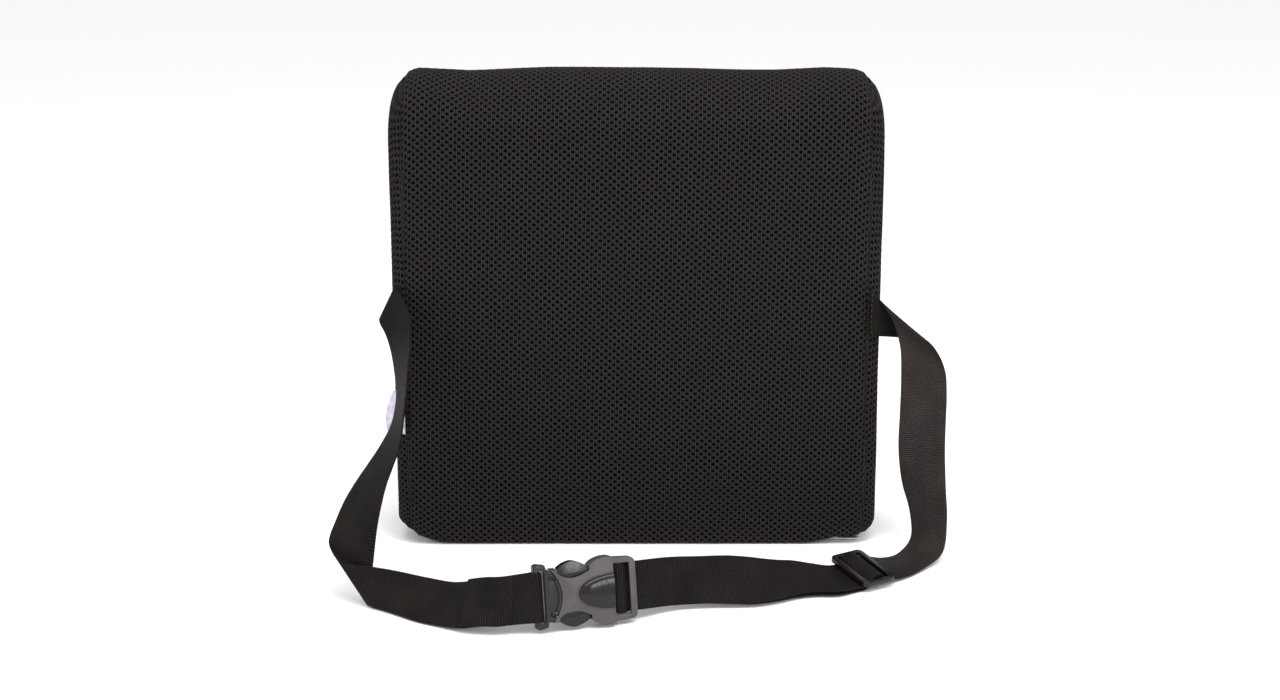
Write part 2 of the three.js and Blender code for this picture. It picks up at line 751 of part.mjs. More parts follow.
group.add(node('care_label', careLabel(), material(0xe9e7e2, 0.8)));
group.add(node('strap_left', strapLeft(), webbingBlack()));
group.add(node('strap_right', strapRight(), webbingBlack()));

const buckle = new THREE.Group();
buckle.applyMatrix4(buckleFrame);
buckle.add(node('buckle_female_body', femaleBody(), plasticGrey()));
buckle.add(node('buckle_male_frame', maleFrame(), plasticGrey()));
buckle.add(node('buckle_prong_upper', fromSolid(prong()), plasticBlack()));
buckle.add(node('buckle_prong_lower', fromSolid(prong().mirror([0, 1, 0])), plasticBlack()));
group.add(buckle);

const glide = node('triglide_slider', triglide(), plasticBlack());
glide.applyMatrix4(glideFrame);
group.add(glide);

export default group;
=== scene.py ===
import bpy
import bmesh
import math
import numpy as np
from mathutils import Vector, Matrix


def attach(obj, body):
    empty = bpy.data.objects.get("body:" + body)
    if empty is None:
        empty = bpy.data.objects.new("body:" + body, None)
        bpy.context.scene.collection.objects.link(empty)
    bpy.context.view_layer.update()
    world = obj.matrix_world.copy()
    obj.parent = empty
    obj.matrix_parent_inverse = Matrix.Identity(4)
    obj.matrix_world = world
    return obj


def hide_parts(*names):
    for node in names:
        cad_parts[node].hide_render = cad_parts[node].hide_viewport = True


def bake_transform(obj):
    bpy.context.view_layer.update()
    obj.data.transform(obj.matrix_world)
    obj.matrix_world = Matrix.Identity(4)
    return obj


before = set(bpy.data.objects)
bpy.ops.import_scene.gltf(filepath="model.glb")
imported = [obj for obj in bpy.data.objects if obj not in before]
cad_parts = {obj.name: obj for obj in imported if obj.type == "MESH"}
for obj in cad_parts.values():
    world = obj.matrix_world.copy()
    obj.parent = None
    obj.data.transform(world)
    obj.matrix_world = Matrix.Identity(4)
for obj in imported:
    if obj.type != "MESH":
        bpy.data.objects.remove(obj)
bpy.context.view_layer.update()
mm = 0.001
scene = bpy.context.scene
print("frame loaded")

# camera, floor and light
view = {"place": (0.0025, -1.5108, 0.5098), "tilt": 14.0, "lens": 60.1}
studio = {
    "sky": 1.02,
    "floor": (0.9, 0.9, 0.9),
    # each softbox: place, the point it faces, size, power
    "softboxAbove": ((0.2, -0.9, 1.7), (0, -0.05, 0.15), (1.6, 1.0), 34),
    "softboxLeft": ((-1.5, -1.2, 0.9), (0, -0.1, 0.15), (0.9, 1.2), 6),
    "softboxRight": ((1.5, -1.0, 0.8), (0, -0.1, 0.15), (0.9, 1.2), 5),
    "softboxLow": ((0.62, -1.15, 0.42), (-0.05, -0.2, 0.05), (0.25, 0.25), 2.2),
}


def addObject(name, data):
    made = bpy.data.objects.new(name, data)
    scene.collection.objects.link(made)
    return made


def newMaterial(name, color, roughness, metallic=None):
    made = bpy.data.materials.new(name)
    made.use_nodes = True
    shader = made.node_tree.nodes["Principled BSDF"]
    shader.inputs["Base Color"].default_value = (*color, 1)
    shader.inputs["Roughness"].default_value = roughness
    if metallic is not None:
        shader.inputs["Metallic"].default_value = metallic
    return made, made.node_tree, shader


def addCamera():
    data = bpy.data.cameras.new("camera")
    data.lens = view["lens"]
    data.sensor_width = 36
    data.clip_end = 30
    camera = addObject("camera", data)
    camera.location = view["place"]
    camera.rotation_euler = (math.radians(90 - view["tilt"]), 0, 0)
    scene.camera = camera


def areaLight(name, place, target, size, power):
    data = bpy.data.lights.new(name, "AREA")
    data.shape = "RECTANGLE"
    data.size, data.size_y = size
    data.energy = power
    light = addObject(name, data)
    light.location = place
    light.rotation_euler = (Vector(target) - Vector(place)).to_track_quat("-Z", "Y").to_euler()


def addStudio():
    world = bpy.data.worlds.new("studio")
    scene.world = world
    world.use_nodes = True
    sky = world.node_tree.nodes["Background"]
    sky.inputs["Color"].default_value = (1, 1, 1, 1)
    sky.inputs["Strength"].default_value = studio["sky"]
    for name in ("softboxAbove", "softboxLeft", "softboxRight", "softboxLow"):
        areaLight(name, *studio[name])
    mesh = bpy.data.meshes.new("floor")
    mesh.from_pydata([(-9, -6, 0), (9, -6, 0), (9, 12, 0), (-9, 12, 0)], [], [(0, 1, 2, 3)])
    mesh.materials.append(newMaterial("paleFloor", studio["floor"], 0.7)[0])
    floor = addObject("floor", mesh)


addCamera()
addStudio()
scene.view_settings.view_transform = "Standard"
print("camera and light")


# node helpers, for materials and for Geometry Nodes
def put(tree, kind, settings=None, **links):
    # a node; each input is given by its label or as i and its number, and is a value or another node's output
    node = tree.nodes.new(kind)
    for key, value in (settings or {}).items():
        setattr(node, key, value)
    for key, value in links.items():
        numbered = key[0] == "i" and key[1:].isdigit()
        socket = node.inputs[int(key[1:]) if numbered else key.replace("_", " ")]
        if isinstance(value, bpy.types.NodeSocket):
            tree.links.new(value, socket)
        else:
            socket.default_value = value
    return node


def calc(tree, operation, *values):
    inputs = {"i%d" % i: value for i, value in enumerate(values)}
    return put(tree, "ShaderNodeMath", {"operation": operation}, **inputs).outputs[0]


def between(tree, factor, a, b, **settings):
    return put(tree, "ShaderNodeMix", {"data_type": "RGBA", **settings}, i0=factor, i6=a, i7=b).outputs[2]


def ramp(tree, source, stops):
    node = put(tree, "ShaderNodeValToRGB", Fac=source)
    for element, (place, color) in zip(node.color_ramp.elements, (stops[0], stops[-1])):
        element.position = place
        element.color = (*color, 1)
    for place, color in stops[1:-1]:
        node.color_ramp.elements.new(place).color = (*color, 1)
    return node.outputs["Color"]


def noise(tree, source, scale, detail=3.0):
    return put(tree, "ShaderNodeTexNoise", Vector=source, Scale=scale, Detail=detail, Roughness=0.55).outputs["Fac"]


def bands(tree, source, direction, scale, **more):
    settings = {"wave_type": "BANDS", "bands_direction": direction}
    return put(tree, "ShaderNodeTexWave", settings, Vector=source, Scale=scale, **more).outputs["Fac"]


def objectPlace(tree):
    return put(tree, "ShaderNodeTexCoord").outputs["Object"]


def colourFrom(tree, shader, source, *stops):
    tree.links.new(ramp(tree, source, stops), shader.inputs["Base Color"])


def bumpFrom(tree, shader, height, strength, distance):
    bump = put(tree, "ShaderNodeBump", Strength=strength, Distance=distance, Height=height)
    tree.links.new(bump.outputs["Normal"], shader.inputs["Normal"])


def roughFrom(tree, shader, source, low, high):
    rough = put(tree, "ShaderNodeMapRange", i0=source, i1=0.3, i2=0.7, i3=low, i4=high)
    tree.links.new(rough.outputs[0], shader.inputs["Roughness"])


# mesh helpers
def gridFaces(rows, columns, closed, flip=False):
    faces = []
    for r in range(rows - 1):
        for c in range(columns if closed else columns - 1):
            d = (c + 1) % columns
            quad = (r * columns + c, r * columns + d, (r + 1) * columns + d, (r + 1) * columns + c)
            faces.append(quad[::-1] if flip else quad)
    return faces


def tubeFaces(rows, count):
    # the wall of a tube, ring by ring, and its two ends
    return gridFaces(rows, count, True) + [tuple(range(count))[::-1], tuple(range((rows - 1) * count, rows * count))]


def objectFrom(name, points, faces):
    mesh = bpy.data.meshes.new(name)
    mesh.from_pydata([tuple(p) for p in points], [], faces)
    mesh.validate()
    mesh.shade_smooth()
    return addObject(name, mesh)


def faceOutwards(mesh):
    body = bmesh.new()
    body.from_mesh(mesh)
    bmesh.ops.recalc_face_normals(body, faces=body.faces)
    body.to_mesh(mesh)
    body.free()


def solvedMesh(made):
    # the mesh with its modifiers applied, which are then removed
    bpy.context.view_layer.update()
    mesh = bpy.data.meshes.new_from_object(made.evaluated_get(bpy.context.evaluated_depsgraph_get()))
    made.modifiers.clear()
    return mesh


def giveFlat(made, u, v):
    # the surface's flat measure in metres, as its UV map
    uv = made.data.uv_layers.new(name="UVMap")
    index = np.empty(len(made.data.loops), int)
    made.data.loops.foreach_get("vertex_index", index)
    uv.data.foreach_set("uv", np.c_[u, v][index].ravel().astype(np.float32))


# cushion body: a foam block in a fitted cover, blown up a little by simulation
cushion = {
    "halfWidth": 163 * mm,     # middle to each side seam
    "bulge": 9.6 * mm,         # how far the side pieces crown out
    "crownReach": 9 * mm,      # distance from a seam at which a side piece is fully out
    "height": 340 * mm,
    "rear": -48 * mm,
    "topRoll": 29 * mm,
    "tuckTurn": 35,            # degrees down the far side of the roll, where the top seam lies
    "rearRoll": 3.6 * mm,
    "cornerRadius": 23 * mm,   # top corners as seen from the rear
    "cornerEdge": 172.5 * mm,
    "liftReach": 46 * mm,      # height at which the lift of the lower corners has died out
    "puff": 4.2 * mm,          # the most that the simulation may swell it
    "pressure": 4.0,
    "frames": 14,
    "grounded": 4 * mm,        # the cover below this height stays down while it swells
    "seam": (2.2 * mm, 6 * mm),      # how deep a sewn seam lies, and how far off the cover begins to sink
    "zipEdge": (0.4 * mm, 3 * mm),   # the same at the zip
    "lip": 5 * mm,             # cloth turned in at a sewn edge
    "unevenness": 0.55 * mm,
}
filling = {
    "inset": 3.4 * mm,         # below the cover
    "crownReach": 12 * mm,
    "crest": 1.5 * mm,         # how much further the middle of a side stands out
    "crestReach": 50 * mm,
    "middle": (-2 * mm, 165 * mm),
    "rings": (0.03, 0.08, 0.17, 0.32, 0.54, 0.82),  # from a side seam in to the middle
    "step": 6.5 * mm,
    "columns": 46,
    "groove": (-47 * mm, -24 * mm, 9 * mm),  # over the zip: from and to in y, and its height
}
# lower corners that turn up: side, where it starts, over what length, and how far, in mm
# the middle one is over the closed end of the zip
cornerLifts = [(-1, 132, 36, 13), (1, 116, 26, 4.6), (1, 150, 22, 6)]
topHeights = {-175: -0.5, -151: 0.6, -117: -2.0, -60: 0.6, -25: 0.7, 40: 0.2, 98: -2.0, 132: 0.4, 175: -1.0}


def smoothCurve(knots, count):
    # Catmull-Rom through the knots
    knots = np.asarray(knots, float)
    ends = np.vstack([2 * knots[0] - knots[1], knots, 2 * knots[-1] - knots[-2]])
    out = []
    for t in np.linspace(0, len(knots) - 1 - 1e-9, count):
        i = int(t)
        f = t - i
        p0, p1, p2, p3 = ends[i:i + 4]
        out.append(0.5 * (2 * p1 + (p2 - p0) * f + (2 * p0 - 5 * p1 + 4 * p2 - p3) * f * f
                          + (3 * p1 - p0 - 3 * p2 + p3) * f ** 3))
    return np.array(out)


def arcPoints(centre, radius, start, stop, count):
    turn = np.radians(np.linspace(start, stop, count))
    return np.c_[centre[0] + radius * np.cos(turn), centre[1] + radius * np.sin(turn)]


def evenSteps(points, step):
    # resample a polyline at even distances
    gaps = np.linalg.norm(np.diff(points, axis=0), axis=1)
    run = np.r_[0, np.cumsum(gaps)]
    count = max(2, int(round(run[-1] / step)))
    at = np.linspace(0, run[-1], count + 1)
    return np.c_[np.interp(at, run, points[:, 0]), np.interp(at, run, points[:, 1])], at


# side outline in y and z, in three runs: rear and top, front, base
roll = cushion["topRoll"]
rollCentre = (cushion["rear"] + roll, cushion["height"] - roll)
rearRun = np.vstack([
    arcPoints((cushion["rear"] + cushion["rearRoll"], cushion["rearRoll"]), cushion["rearRoll"], -20, -180, 12),
    arcPoints(rollCentre, roll, 180, cushion["tuckTurn"], 40),
])
frontKnots = np.array([(9.4, 317), (12.6, 303), (17.6, 280), (30.8, 235), (44.9, 190), (54.6, 149), (58, 122),
                       (56.5, 90), (51, 51), (47.2, 28), (46, 15)]) * mm
frontRun = np.vstack([
    arcPoints(rollCentre, roll, cushion["tuckTurn"], 14, 8),
    smoothCurve(frontKnots, 80),
    arcPoints((31 * mm, 15 * mm), 15 * mm, -4, -90, 12),
    np.array([(-21 * mm, 0.0), (-30 * mm, 2.4 * mm)]),
])
baseRun = np.array([frontRun[-1], rearRun[0]])


def cornerDrop(x):
    radius = cushion["cornerRadius"]
    into = np.clip(np.abs(x) - (cushion["cornerEdge"] - radius), 0, radius)
    return radius - np.sqrt(radius ** 2 - into ** 2)


def topWave(x):
    return np.interp(x, np.array(list(topHeights)) * mm, np.array(list(topHeights.values())) * mm)


def baseLift(x):
    return sum(np.clip((side * x - start * mm) / (length * mm), 0, 1) ** 2 * lift * mm
               for side, start, length, lift in cornerLifts)


def shapeBody(points):
    # the small irregularities of a worn foam block
    x, y, z = points.T
    height = cushion["height"]
    tall = np.clip(z / height, 0, 1)
    lifted = z * (height - cornerDrop(x)) / height + topWave(x) * tall ** 6
    lifted = lifted + baseLift(x) * (1 - np.clip(lifted / cushion["liftReach"], 0, 1)) ** 2
    return np.c_[x, y, lifted]


def outlineLoop(step):
    rear, rearAt = evenSteps(rearRun, step)
    front, frontAt = evenSteps(frontRun, step)
    base, baseAt = evenSteps(baseRun, step)
    loop = np.vstack([rear[:-1], front[:-1], base[:-1]])
    at = np.r_[rearAt[:-1], rearAt[-1] + frontAt[:-1], rearAt[-1] + frontAt[-1] + baseAt[:-1]]
    return loop, at, rearAt[-1]


def distanceInside(points, loop):
    # distance of each y, z point to the side outline
    along = np.roll(loop, -1, axis=0) - loop
    length = (along ** 2).sum(1)
    part = ((points[:, None] - loop[None]) * along[None]).sum(2) / length[None]
    near = loop[None] + np.clip(part, 0, 1)[..., None] * along[None]
    return np.linalg.norm(points[:, None] - near, axis=2).min(1)


def sideSurface(loop, side):
    # rings of the foam's side, crowned outwards
    middle = np.array(filling["middle"])
    points = []
    for ring in filling["rings"]:
        flat = loop + (middle - loop) * ring
        deep = distanceInside(flat, loop)
        crown = 1 - np.clip(deep / filling["crownReach"], 0, 1)
        out = cushion["bulge"] * np.sqrt(1 - crown ** 2) + filling["crest"] * np.clip(deep / filling["crestReach"], 0, 1)
        points.append(np.c_[side * (cushion["halfWidth"] + out), flat])
    return np.array(points)


def plainBlock():
    # the whole block before it swells: rings of the left side, the tube between the seams, the right side
    loop, at, rearLength = outlineLoop(filling["step"])
    across = np.linspace(-1, 1, filling["columns"]) * cushion["halfWidth"]
    tube = np.array([np.c_[np.full(len(loop), x), loop] for x in across])
    left, right = sideSurface(loop, -1), sideSurface(loop, 1)
    stack = np.vstack([part.reshape(-1, 3) for part in (left[::-1], tube, right)])
    return {
        "points": shapeBody(stack), "faces": tubeFaces(len(left) + len(tube) + len(right), len(loop)),
        "across": across, "at": at, "total": at[-1] + np.linalg.norm(loop[-1] - loop[0]),
        "rearLength": rearLength, "around": len(loop), "sidePoints": len(left) * len(loop),
    }


def puffedBody():
    # how far each point of the tube between the seams moves when the cover is blown up
    plain, count = block["points"], block["around"]
    first = block["sidePoints"]
    last = len(plain) - first - count
    moved = np.zeros_like(plain)
    bag = objectFrom("bag", plain, block["faces"])
    faceOutwards(bag.data)
    topSeam = int(np.argmin(np.abs(block["at"] - block["rearLength"])))
    held = [*range(first, first + count), *range(last, last + count),
            *range(first + topSeam, last + count, count)]
    held += [i for i in range(len(plain)) if plain[i, 2] < cushion["grounded"]]
    bag.vertex_groups.new(name="seams").add(held, 1.0, "REPLACE")
    cloth = bag.modifiers.new("cloth", "CLOTH")
    settings = cloth.settings
    settings.quality = 6
    settings.mass = 0.4
    settings.tension_stiffness = settings.compression_stiffness = 25
    settings.bending_stiffness = 3
    settings.use_pressure = True
    settings.uniform_pressure_force = cushion["pressure"]
    settings.vertex_group_mass = "seams"
    settings.effector_weights.gravity = 0
    cloth.collision_settings.use_collision = False
    cloth.point_cache.frame_start = 1
    cloth.point_cache.frame_end = cushion["frames"]
    for step in range(1, cushion["frames"] + 1):
        scene.frame_set(step)
    grown = bag.evaluated_get(bpy.context.evaluated_depsgraph_get())
    coords = np.empty(len(plain) * 3)
    grown.data.vertices.foreach_get("co", coords)
    moved = coords.reshape(-1, 3) - plain
    length = np.linalg.norm(moved, axis=1, keepdims=True)
    print("swelled by up to %.1f mm" % (length.max() / mm))
    moved *= np.minimum(1, cushion["puff"] / np.maximum(length, 1e-9))
    scene.frame_set(1)
    bpy.data.objects.remove(bag)
    return moved[first:last + count].reshape(-1, count, 3)


def puffAt(x, s):
    # bilinear look-up in the swelling, which closes on itself along s
    across, at = block["across"], block["at"]
    column = np.interp(x, across, np.arange(len(across)))
    closedAt = np.r_[at, block["total"]]
    row = np.interp(s % block["total"], closedAt, np.arange(len(closedAt)))
    i = np.clip(column.astype(int), 0, len(across) - 2)
    j = np.clip(row.astype(int), 0, len(at) - 1)
    u = (column - i)[:, None]
    v = (row - j)[:, None]
    k = (j + 1) % len(at)
    return (puff[i, j] * (1 - u) * (1 - v) + puff[i + 1, j] * u * (1 - v)
            + puff[i, k] * (1 - u) * v + puff[i + 1, k] * u * v)


block = plainBlock()
puff = puffedBody()
print("cushion swelled")


def ripple(points, size, seed):
    # gentle unevenness of the fabric, the same each time
    x, y, z = points.T / mm
    a = np.sin(x / 41 + seed) * np.sin(z / 37 + 1.7 * seed)
    b = np.sin(x / 19 + z / 53 + 2.1 * seed) * np.sin(z / 23 - x / 67 + seed)
    c = np.sin((x + z) / 12.5 + 3 * seed) * np.sin((x - z) / 16.3)
    return (0.5 * a + 0.32 * b + 0.14 * c) * size


def seamDip(near, depth, reach):
    # how far the cover sinks beside a seam, and how it turns in past it
    return np.where(near < 0, -depth + near * 0.9, -depth * (1 - np.clip(near / reach, 0, 1)) ** 2.2)


def panelSurface(name, run, startAt, startLip, endLip):
    # one cover panel between the side seams, its edges turned in at every seam
    line, at = evenSteps(run, 4 * mm)
    length, halfWidth, sideLip = at[-1], cushion["halfWidth"], cushion["lip"]
    x = np.r_[np.linspace(-halfWidth - sideLip, -halfWidth - 1 * mm, 3), np.linspace(-halfWidth, halfWidth, 84),
              np.linspace(halfWidth + 1 * mm, halfWidth + sideLip, 3)]
    s = np.r_[np.linspace(-startLip, -1 * mm, 3), at, np.linspace(length + 1 * mm, length + endLip, 3)]
    gridX, gridS = np.meshgrid(x, s)
    flatX, flatS = gridX.ravel(), gridS.ravel()
    onX = np.clip(flatX, -halfWidth, halfWidth)
    onS = np.clip(flatS, 0, length)
    points = shapeBody(np.c_[onX, np.interp(onS, at, line[:, 0]), np.interp(onS, at, line[:, 1])])
    points += puffAt(onX, onS + startAt)
    body = points.reshape(len(s), len(x), 3)
    alongX, alongS = np.gradient(body, axis=1), np.gradient(body, axis=0)
    for slope in (alongX, alongS):
        # past the seams both gradients vanish, so the direction is taken from the edge
        slope[:, :4] = slope[:, 4:5]
        slope[:, -4:] = slope[:, -5:-4]
        slope[:4] = slope[4:5]
        slope[-4:] = slope[-5:-4]
    out = np.cross(alongX, alongS).reshape(-1, 3)
    out /= np.maximum(np.linalg.norm(out, axis=1, keepdims=True), 1e-12)
    dip = seamDip(halfWidth - np.abs(flatX), *cushion["seam"])
    for near, lip in ((flatS, startLip), (length - flatS, endLip)):
        dip = np.minimum(dip, seamDip(near, *cushion["seam" if lip >= sideLip else "zipEdge"]))
    calm = np.clip(np.minimum(halfWidth - np.abs(flatX), np.minimum(flatS, length - flatS)) / (20 * mm), 0, 1)
    points += out * (dip + ripple(points, cushion["unevenness"], 0.7) * calm)[:, None]
    points[:, 2] = np.maximum(points[:, 2], 0.25 * mm)
    made = objectFrom(name, points, gridFaces(len(s), len(x), False))
    giveFlat(made, flatX + net["originU"], flatS + net["originV"])
    return (made, (net["originU"], net["originV"] + length / 2),
            (2 * halfWidth + 2 * sideLip, length + startLip + endLip))


sidePiece = {
    "rows": 72, "columns": 30, "step": 3 * mm,
    "valley": 2.2 * mm,      # how far the seam stands in from the outline
    "inset": 0.2 * mm,
    "unevenness": 0.5 * mm,
    "tuckIn": 2.6 * mm, "tuckOver": 2.4 * mm, "tuckCloth": 3.5 * mm,  # the edge turned in
}


def cosineSteps(count):
    # from 0 to 1, closer together at both ends
    return 0.5 * (1 - np.cos(np.linspace(0, np.pi, count)))


def sideSurfacePiece(name, side):
    # a side piece as rows from its rear seam to its front seam, crowned outwards
    step, valley = sidePiece["step"], sidePiece["valley"]
    loop = np.vstack([evenSteps(rearRun, step)[0][:-1], evenSteps(frontRun, step)[0]])
    z = valley + (cushion["height"] - 2 * valley) * cosineSteps(sidePiece["rows"])
    peak = int(np.argmax(loop[:, 1]))
    rearSide, frontSide = loop[:peak + 1], loop[peak:][::-1]
    rearSide = rearSide[int(np.argmin(rearSide[:, 1])):]
    frontSide = frontSide[int(np.argmin(frontSide[:, 1] - 0.0001 * frontSide[:, 0])):]
    order = np.argsort(frontSide[:, 1])
    rearY = np.interp(z, rearSide[:, 1], rearSide[:, 0]) + valley
    frontY = np.interp(z, frontSide[order, 1], frontSide[order, 0]) - valley
    spread = cosineSteps(sidePiece["columns"])
    y = rearY[:, None] + np.maximum(frontY - rearY, 0.4 * mm)[:, None] * spread[None]
    v = np.repeat(z[:, None], len(spread), 1)
    flatY, flatZ = y.ravel(), v.ravel()
    deep = distanceInside(np.c_[flatY, flatZ], loop) - valley
    crown = 1 - np.clip(deep / cushion["crownReach"], 0, 1)
    out = cushion["bulge"] * np.sqrt(1 - crown ** 2)
    uneven = ripple(np.c_[np.full(len(out), side * 0.1), flatY, flatZ], sidePiece["unevenness"], 2.3)
    out += uneven * (1 - crown)
    body = np.c_[side * (cushion["halfWidth"] - sidePiece["inset"] + out), flatY, flatZ]
    body = body.reshape(len(z), len(spread), 3)
    # flat measure: along the crown from the middle column, and up
    gaps = np.linalg.norm(np.diff(body, axis=1), axis=2)
    run = np.c_[np.zeros(len(z)), np.cumsum(gaps, 1)]
    middle = len(spread) // 2
    u = body[:, middle, 1][:, None] + run - run[:, middle:middle + 1]
    inwards = np.array([side * -sidePiece["tuckIn"], 0, 0])
    over, cloth = sidePiece["tuckOver"], sidePiece["tuckCloth"]
    body = np.concatenate([body[:, :1] + inwards + (0, over, 0), body, body[:, -1:] + inwards - (0, over, 0)], 1)
    u = np.c_[u[:, 0] - cloth, u, u[:, -1] + cloth]
    v = np.c_[v[:, 0], v, v[:, -1]]
    body = np.concatenate([body[:1] + inwards + (0, 0, over), body, body[-1:] + inwards - (0, 0, over)], 0)
    u = np.vstack([u[0], u, u[-1]])
    v = np.vstack([v[0] - cloth, v, v[-1] + cloth])
    faces = gridFaces(body.shape[0], body.shape[1], False, flip=side < 0)
    made = objectFrom(name, shapeBody(body.reshape(-1, 3)), faces)
    giveFlat(made, u.ravel() + net["originU"], v.ravel() + net["originV"])
    centre = (net["originU"] + (u.min() + u.max()) / 2, net["originV"] + (v.min() + v.max()) / 2)
    return made, centre, (u.max() - u.min(), v.max() - v.min())


# the knitted net that covers it
net = {
    "pitch": 5.8 * mm,     # between holes along a row
    "row": 4.92 * mm,      # between holes up a column, with the next column half a step off
    "rim": 1.2 * mm,       # hole radius
    "depth": 1.5 * mm,
    "turn": -1.6,          # degrees that the knit is turned on the cushion
    "taper": 0.86,         # how much narrower a hole is at its bottom
    "crest": 0.3 * mm,     # how far the fabric between holes stands above the rims
    "originU": 0.5, "originV": 0.1,  # where a surface's flat measure starts, so that it stays positive
}


def holeTile():
    # one hole with its share of the fabric, a hexagon that meets its neighbours edge to edge
    a, b = net["pitch"] / 2, net["row"] / 2
    long = (a * a + b * b) / (2 * a)
    short = ((a * a + b * b) / 2 - b * b) / a
    corners = [(long, 0), (short, b), (-short, b), (-long, 0), (-short, -b), (short, -b)]
    ring = []
    for i, corner in enumerate(corners):
        ring.append(corner)
        if i not in (1, 4):
            after = corners[(i + 1) % 6]
            ring.append(((corner[0] + after[0]) / 2, (corner[1] + after[1]) / 2))
    count = len(ring)
    turn = [math.atan2(y, x) for x, y in ring]
    points = [(x, y, 0) for x, y in ring]
    for radius, z in ((net["rim"], -net["crest"]), (net["taper"] * net["rim"], -net["depth"])):
        points += [(radius * math.cos(t), radius * math.sin(t), z) for t in turn]
    faces = gridFaces(3, count, True)
    faces.append(tuple(range(2 * count, 3 * count)))
    tile = objectFrom("holeTile", points, faces)
    deep = tile.data.attributes.new("deep", "FLOAT", "POINT")
    deep.data.foreach_set("value", [0.0] * count + [0.35] * count + [1.0] * count)
    return tile


def newTree(name, **inputs):
    tree = bpy.data.node_groups.new(name, "GeometryNodeTree")
    tree.interface.new_socket("Geometry", in_out="INPUT", socket_type="NodeSocketGeometry")
    for label, kind in inputs.items():
        tree.interface.new_socket(label, in_out="INPUT", socket_type="NodeSocket" + kind)
    tree.interface.new_socket("Geometry", in_out="OUTPUT", socket_type="NodeSocketGeometry")
    return tree, put(tree, "NodeGroupInput").outputs


def copiesOn(tree, points, source, **turned):
    # the source object on every point, made real
    copy = put(tree, "GeometryNodeObjectInfo", Object=source, As_Instance=True).outputs["Geometry"]
    laid = put(tree, "GeometryNodeInstanceOnPoints", Points=points, Instance=copy, **turned)
    return put(tree, "GeometryNodeRealizeInstances", Geometry=laid.outputs[0]).outputs[0]


def endTree(tree, geometry, material):
    coloured = put(tree, "GeometryNodeSetMaterial", Geometry=geometry, Material=material)
    smooth = put(tree, "GeometryNodeSetShadeSmooth", Geometry=coloured.outputs[0])
    put(tree, "NodeGroupOutput", i0=smooth.outputs[0])
    return tree


def applyTree(obj, tree, values, name):
    # sets the modifier's inputs by identifier, and returns the result as a plain mesh object
    modifier = obj.modifiers.new("nodes", "NODES")
    modifier.node_group = tree
    for item in tree.interface.items_tree:
        if item.item_type == "SOCKET" and item.in_out == "INPUT" and item.name in values:
            modifier[item.identifier] = values[item.name]
    mesh = solvedMesh(obj)
    mesh.name = name
    return addObject(name, mesh)


def netTree():
    tree, given = newTree("perforatedNet", Tile="Object", Columns="Int", Rows="Int", Pitch="Float", Row="Float",
                          Centre="Vector", Turn="Vector", Material="Material")
    wide = calc(tree, "MULTIPLY", given["Columns"], given["Pitch"])
    tall = calc(tree, "MULTIPLY", given["Rows"], given["Row"])
    outer = put(tree, "GeometryNodeMeshGrid", i0=wide, i1=tall, i2=calc(tree, "ADD", given["Columns"], 1.0),
                i3=calc(tree, "ADD", given["Rows"], 1.0))
    inner = put(tree, "GeometryNodeMeshGrid", i0=calc(tree, "SUBTRACT", wide, given["Pitch"]),
                i1=calc(tree, "SUBTRACT", tall, given["Row"]), i2=given["Columns"], i3=given["Rows"])
    both = put(tree, "GeometryNodeJoinGeometry")
    for grid in (outer, inner):
        tree.links.new(grid.outputs["Mesh"], both.inputs[0])
    real = copiesOn(tree, both.outputs[0], given["Tile"])
    merged = put(tree, "GeometryNodeMergeByDistance", Geometry=real, Distance=0.03 * mm)
    placed = put(tree, "GeometryNodeTransform", Geometry=merged.outputs[0],
                 Translation=given["Centre"], Rotation=given["Turn"])
    position = put(tree, "GeometryNodeInputPosition").outputs[0]
    stored = put(tree, "GeometryNodeStoreNamedAttribute", {"data_type": "FLOAT_VECTOR", "domain": "POINT"},
                 Geometry=placed.outputs[0], Name="flat", Value=position)
    parts = put(tree, "ShaderNodeSeparateXYZ", i0=position)
    flat = put(tree, "ShaderNodeCombineXYZ", i0=parts.outputs[0], i1=parts.outputs[1]).outputs[0]
    uv = put(tree, "GeometryNodeInputNamedAttribute", {"data_type": "FLOAT_VECTOR"}, Name="UVMap").outputs[0]
    normal = put(tree, "GeometryNodeInputNormal").outputs[0]
    onPlace, onNormal = (
        put(tree, "GeometryNodeSampleUVSurface", {"data_type": "FLOAT_VECTOR"}, Mesh=given["Geometry"],
            Value=source, UV_Map=uv, Sample_UV=flat).outputs for source in (position, normal))
    lifted = put(tree, "ShaderNodeVectorMath", {"operation": "SCALE"}, i0=onNormal["Value"], Scale=parts.outputs[2])
    place = put(tree, "ShaderNodeVectorMath", {"operation": "ADD"}, i0=onPlace["Value"], i1=lifted.outputs[0])
    # the test is kept as an attribute, because positions have moved by the time of the cut
    kept = put(tree, "GeometryNodeStoreNamedAttribute", {"data_type": "BOOLEAN", "domain": "POINT"},
               Geometry=stored.outputs[0], Name="onCloth", Value=onPlace["Is Valid"])
    moved = put(tree, "GeometryNodeSetPosition", Geometry=kept.outputs[0], Position=place.outputs[0])
    test = put(tree, "GeometryNodeInputNamedAttribute", {"data_type": "BOOLEAN"}, Name="onCloth")
    missing = put(tree, "FunctionNodeBooleanMath", {"operation": "NOT"}, i0=test.outputs[0])
    cut = put(tree, "GeometryNodeDeleteGeometry", {"domain": "POINT"}, Geometry=moved.outputs[0],
              Selection=missing.outputs[0])
    return endTree(tree, cut.outputs[0], given["Material"])


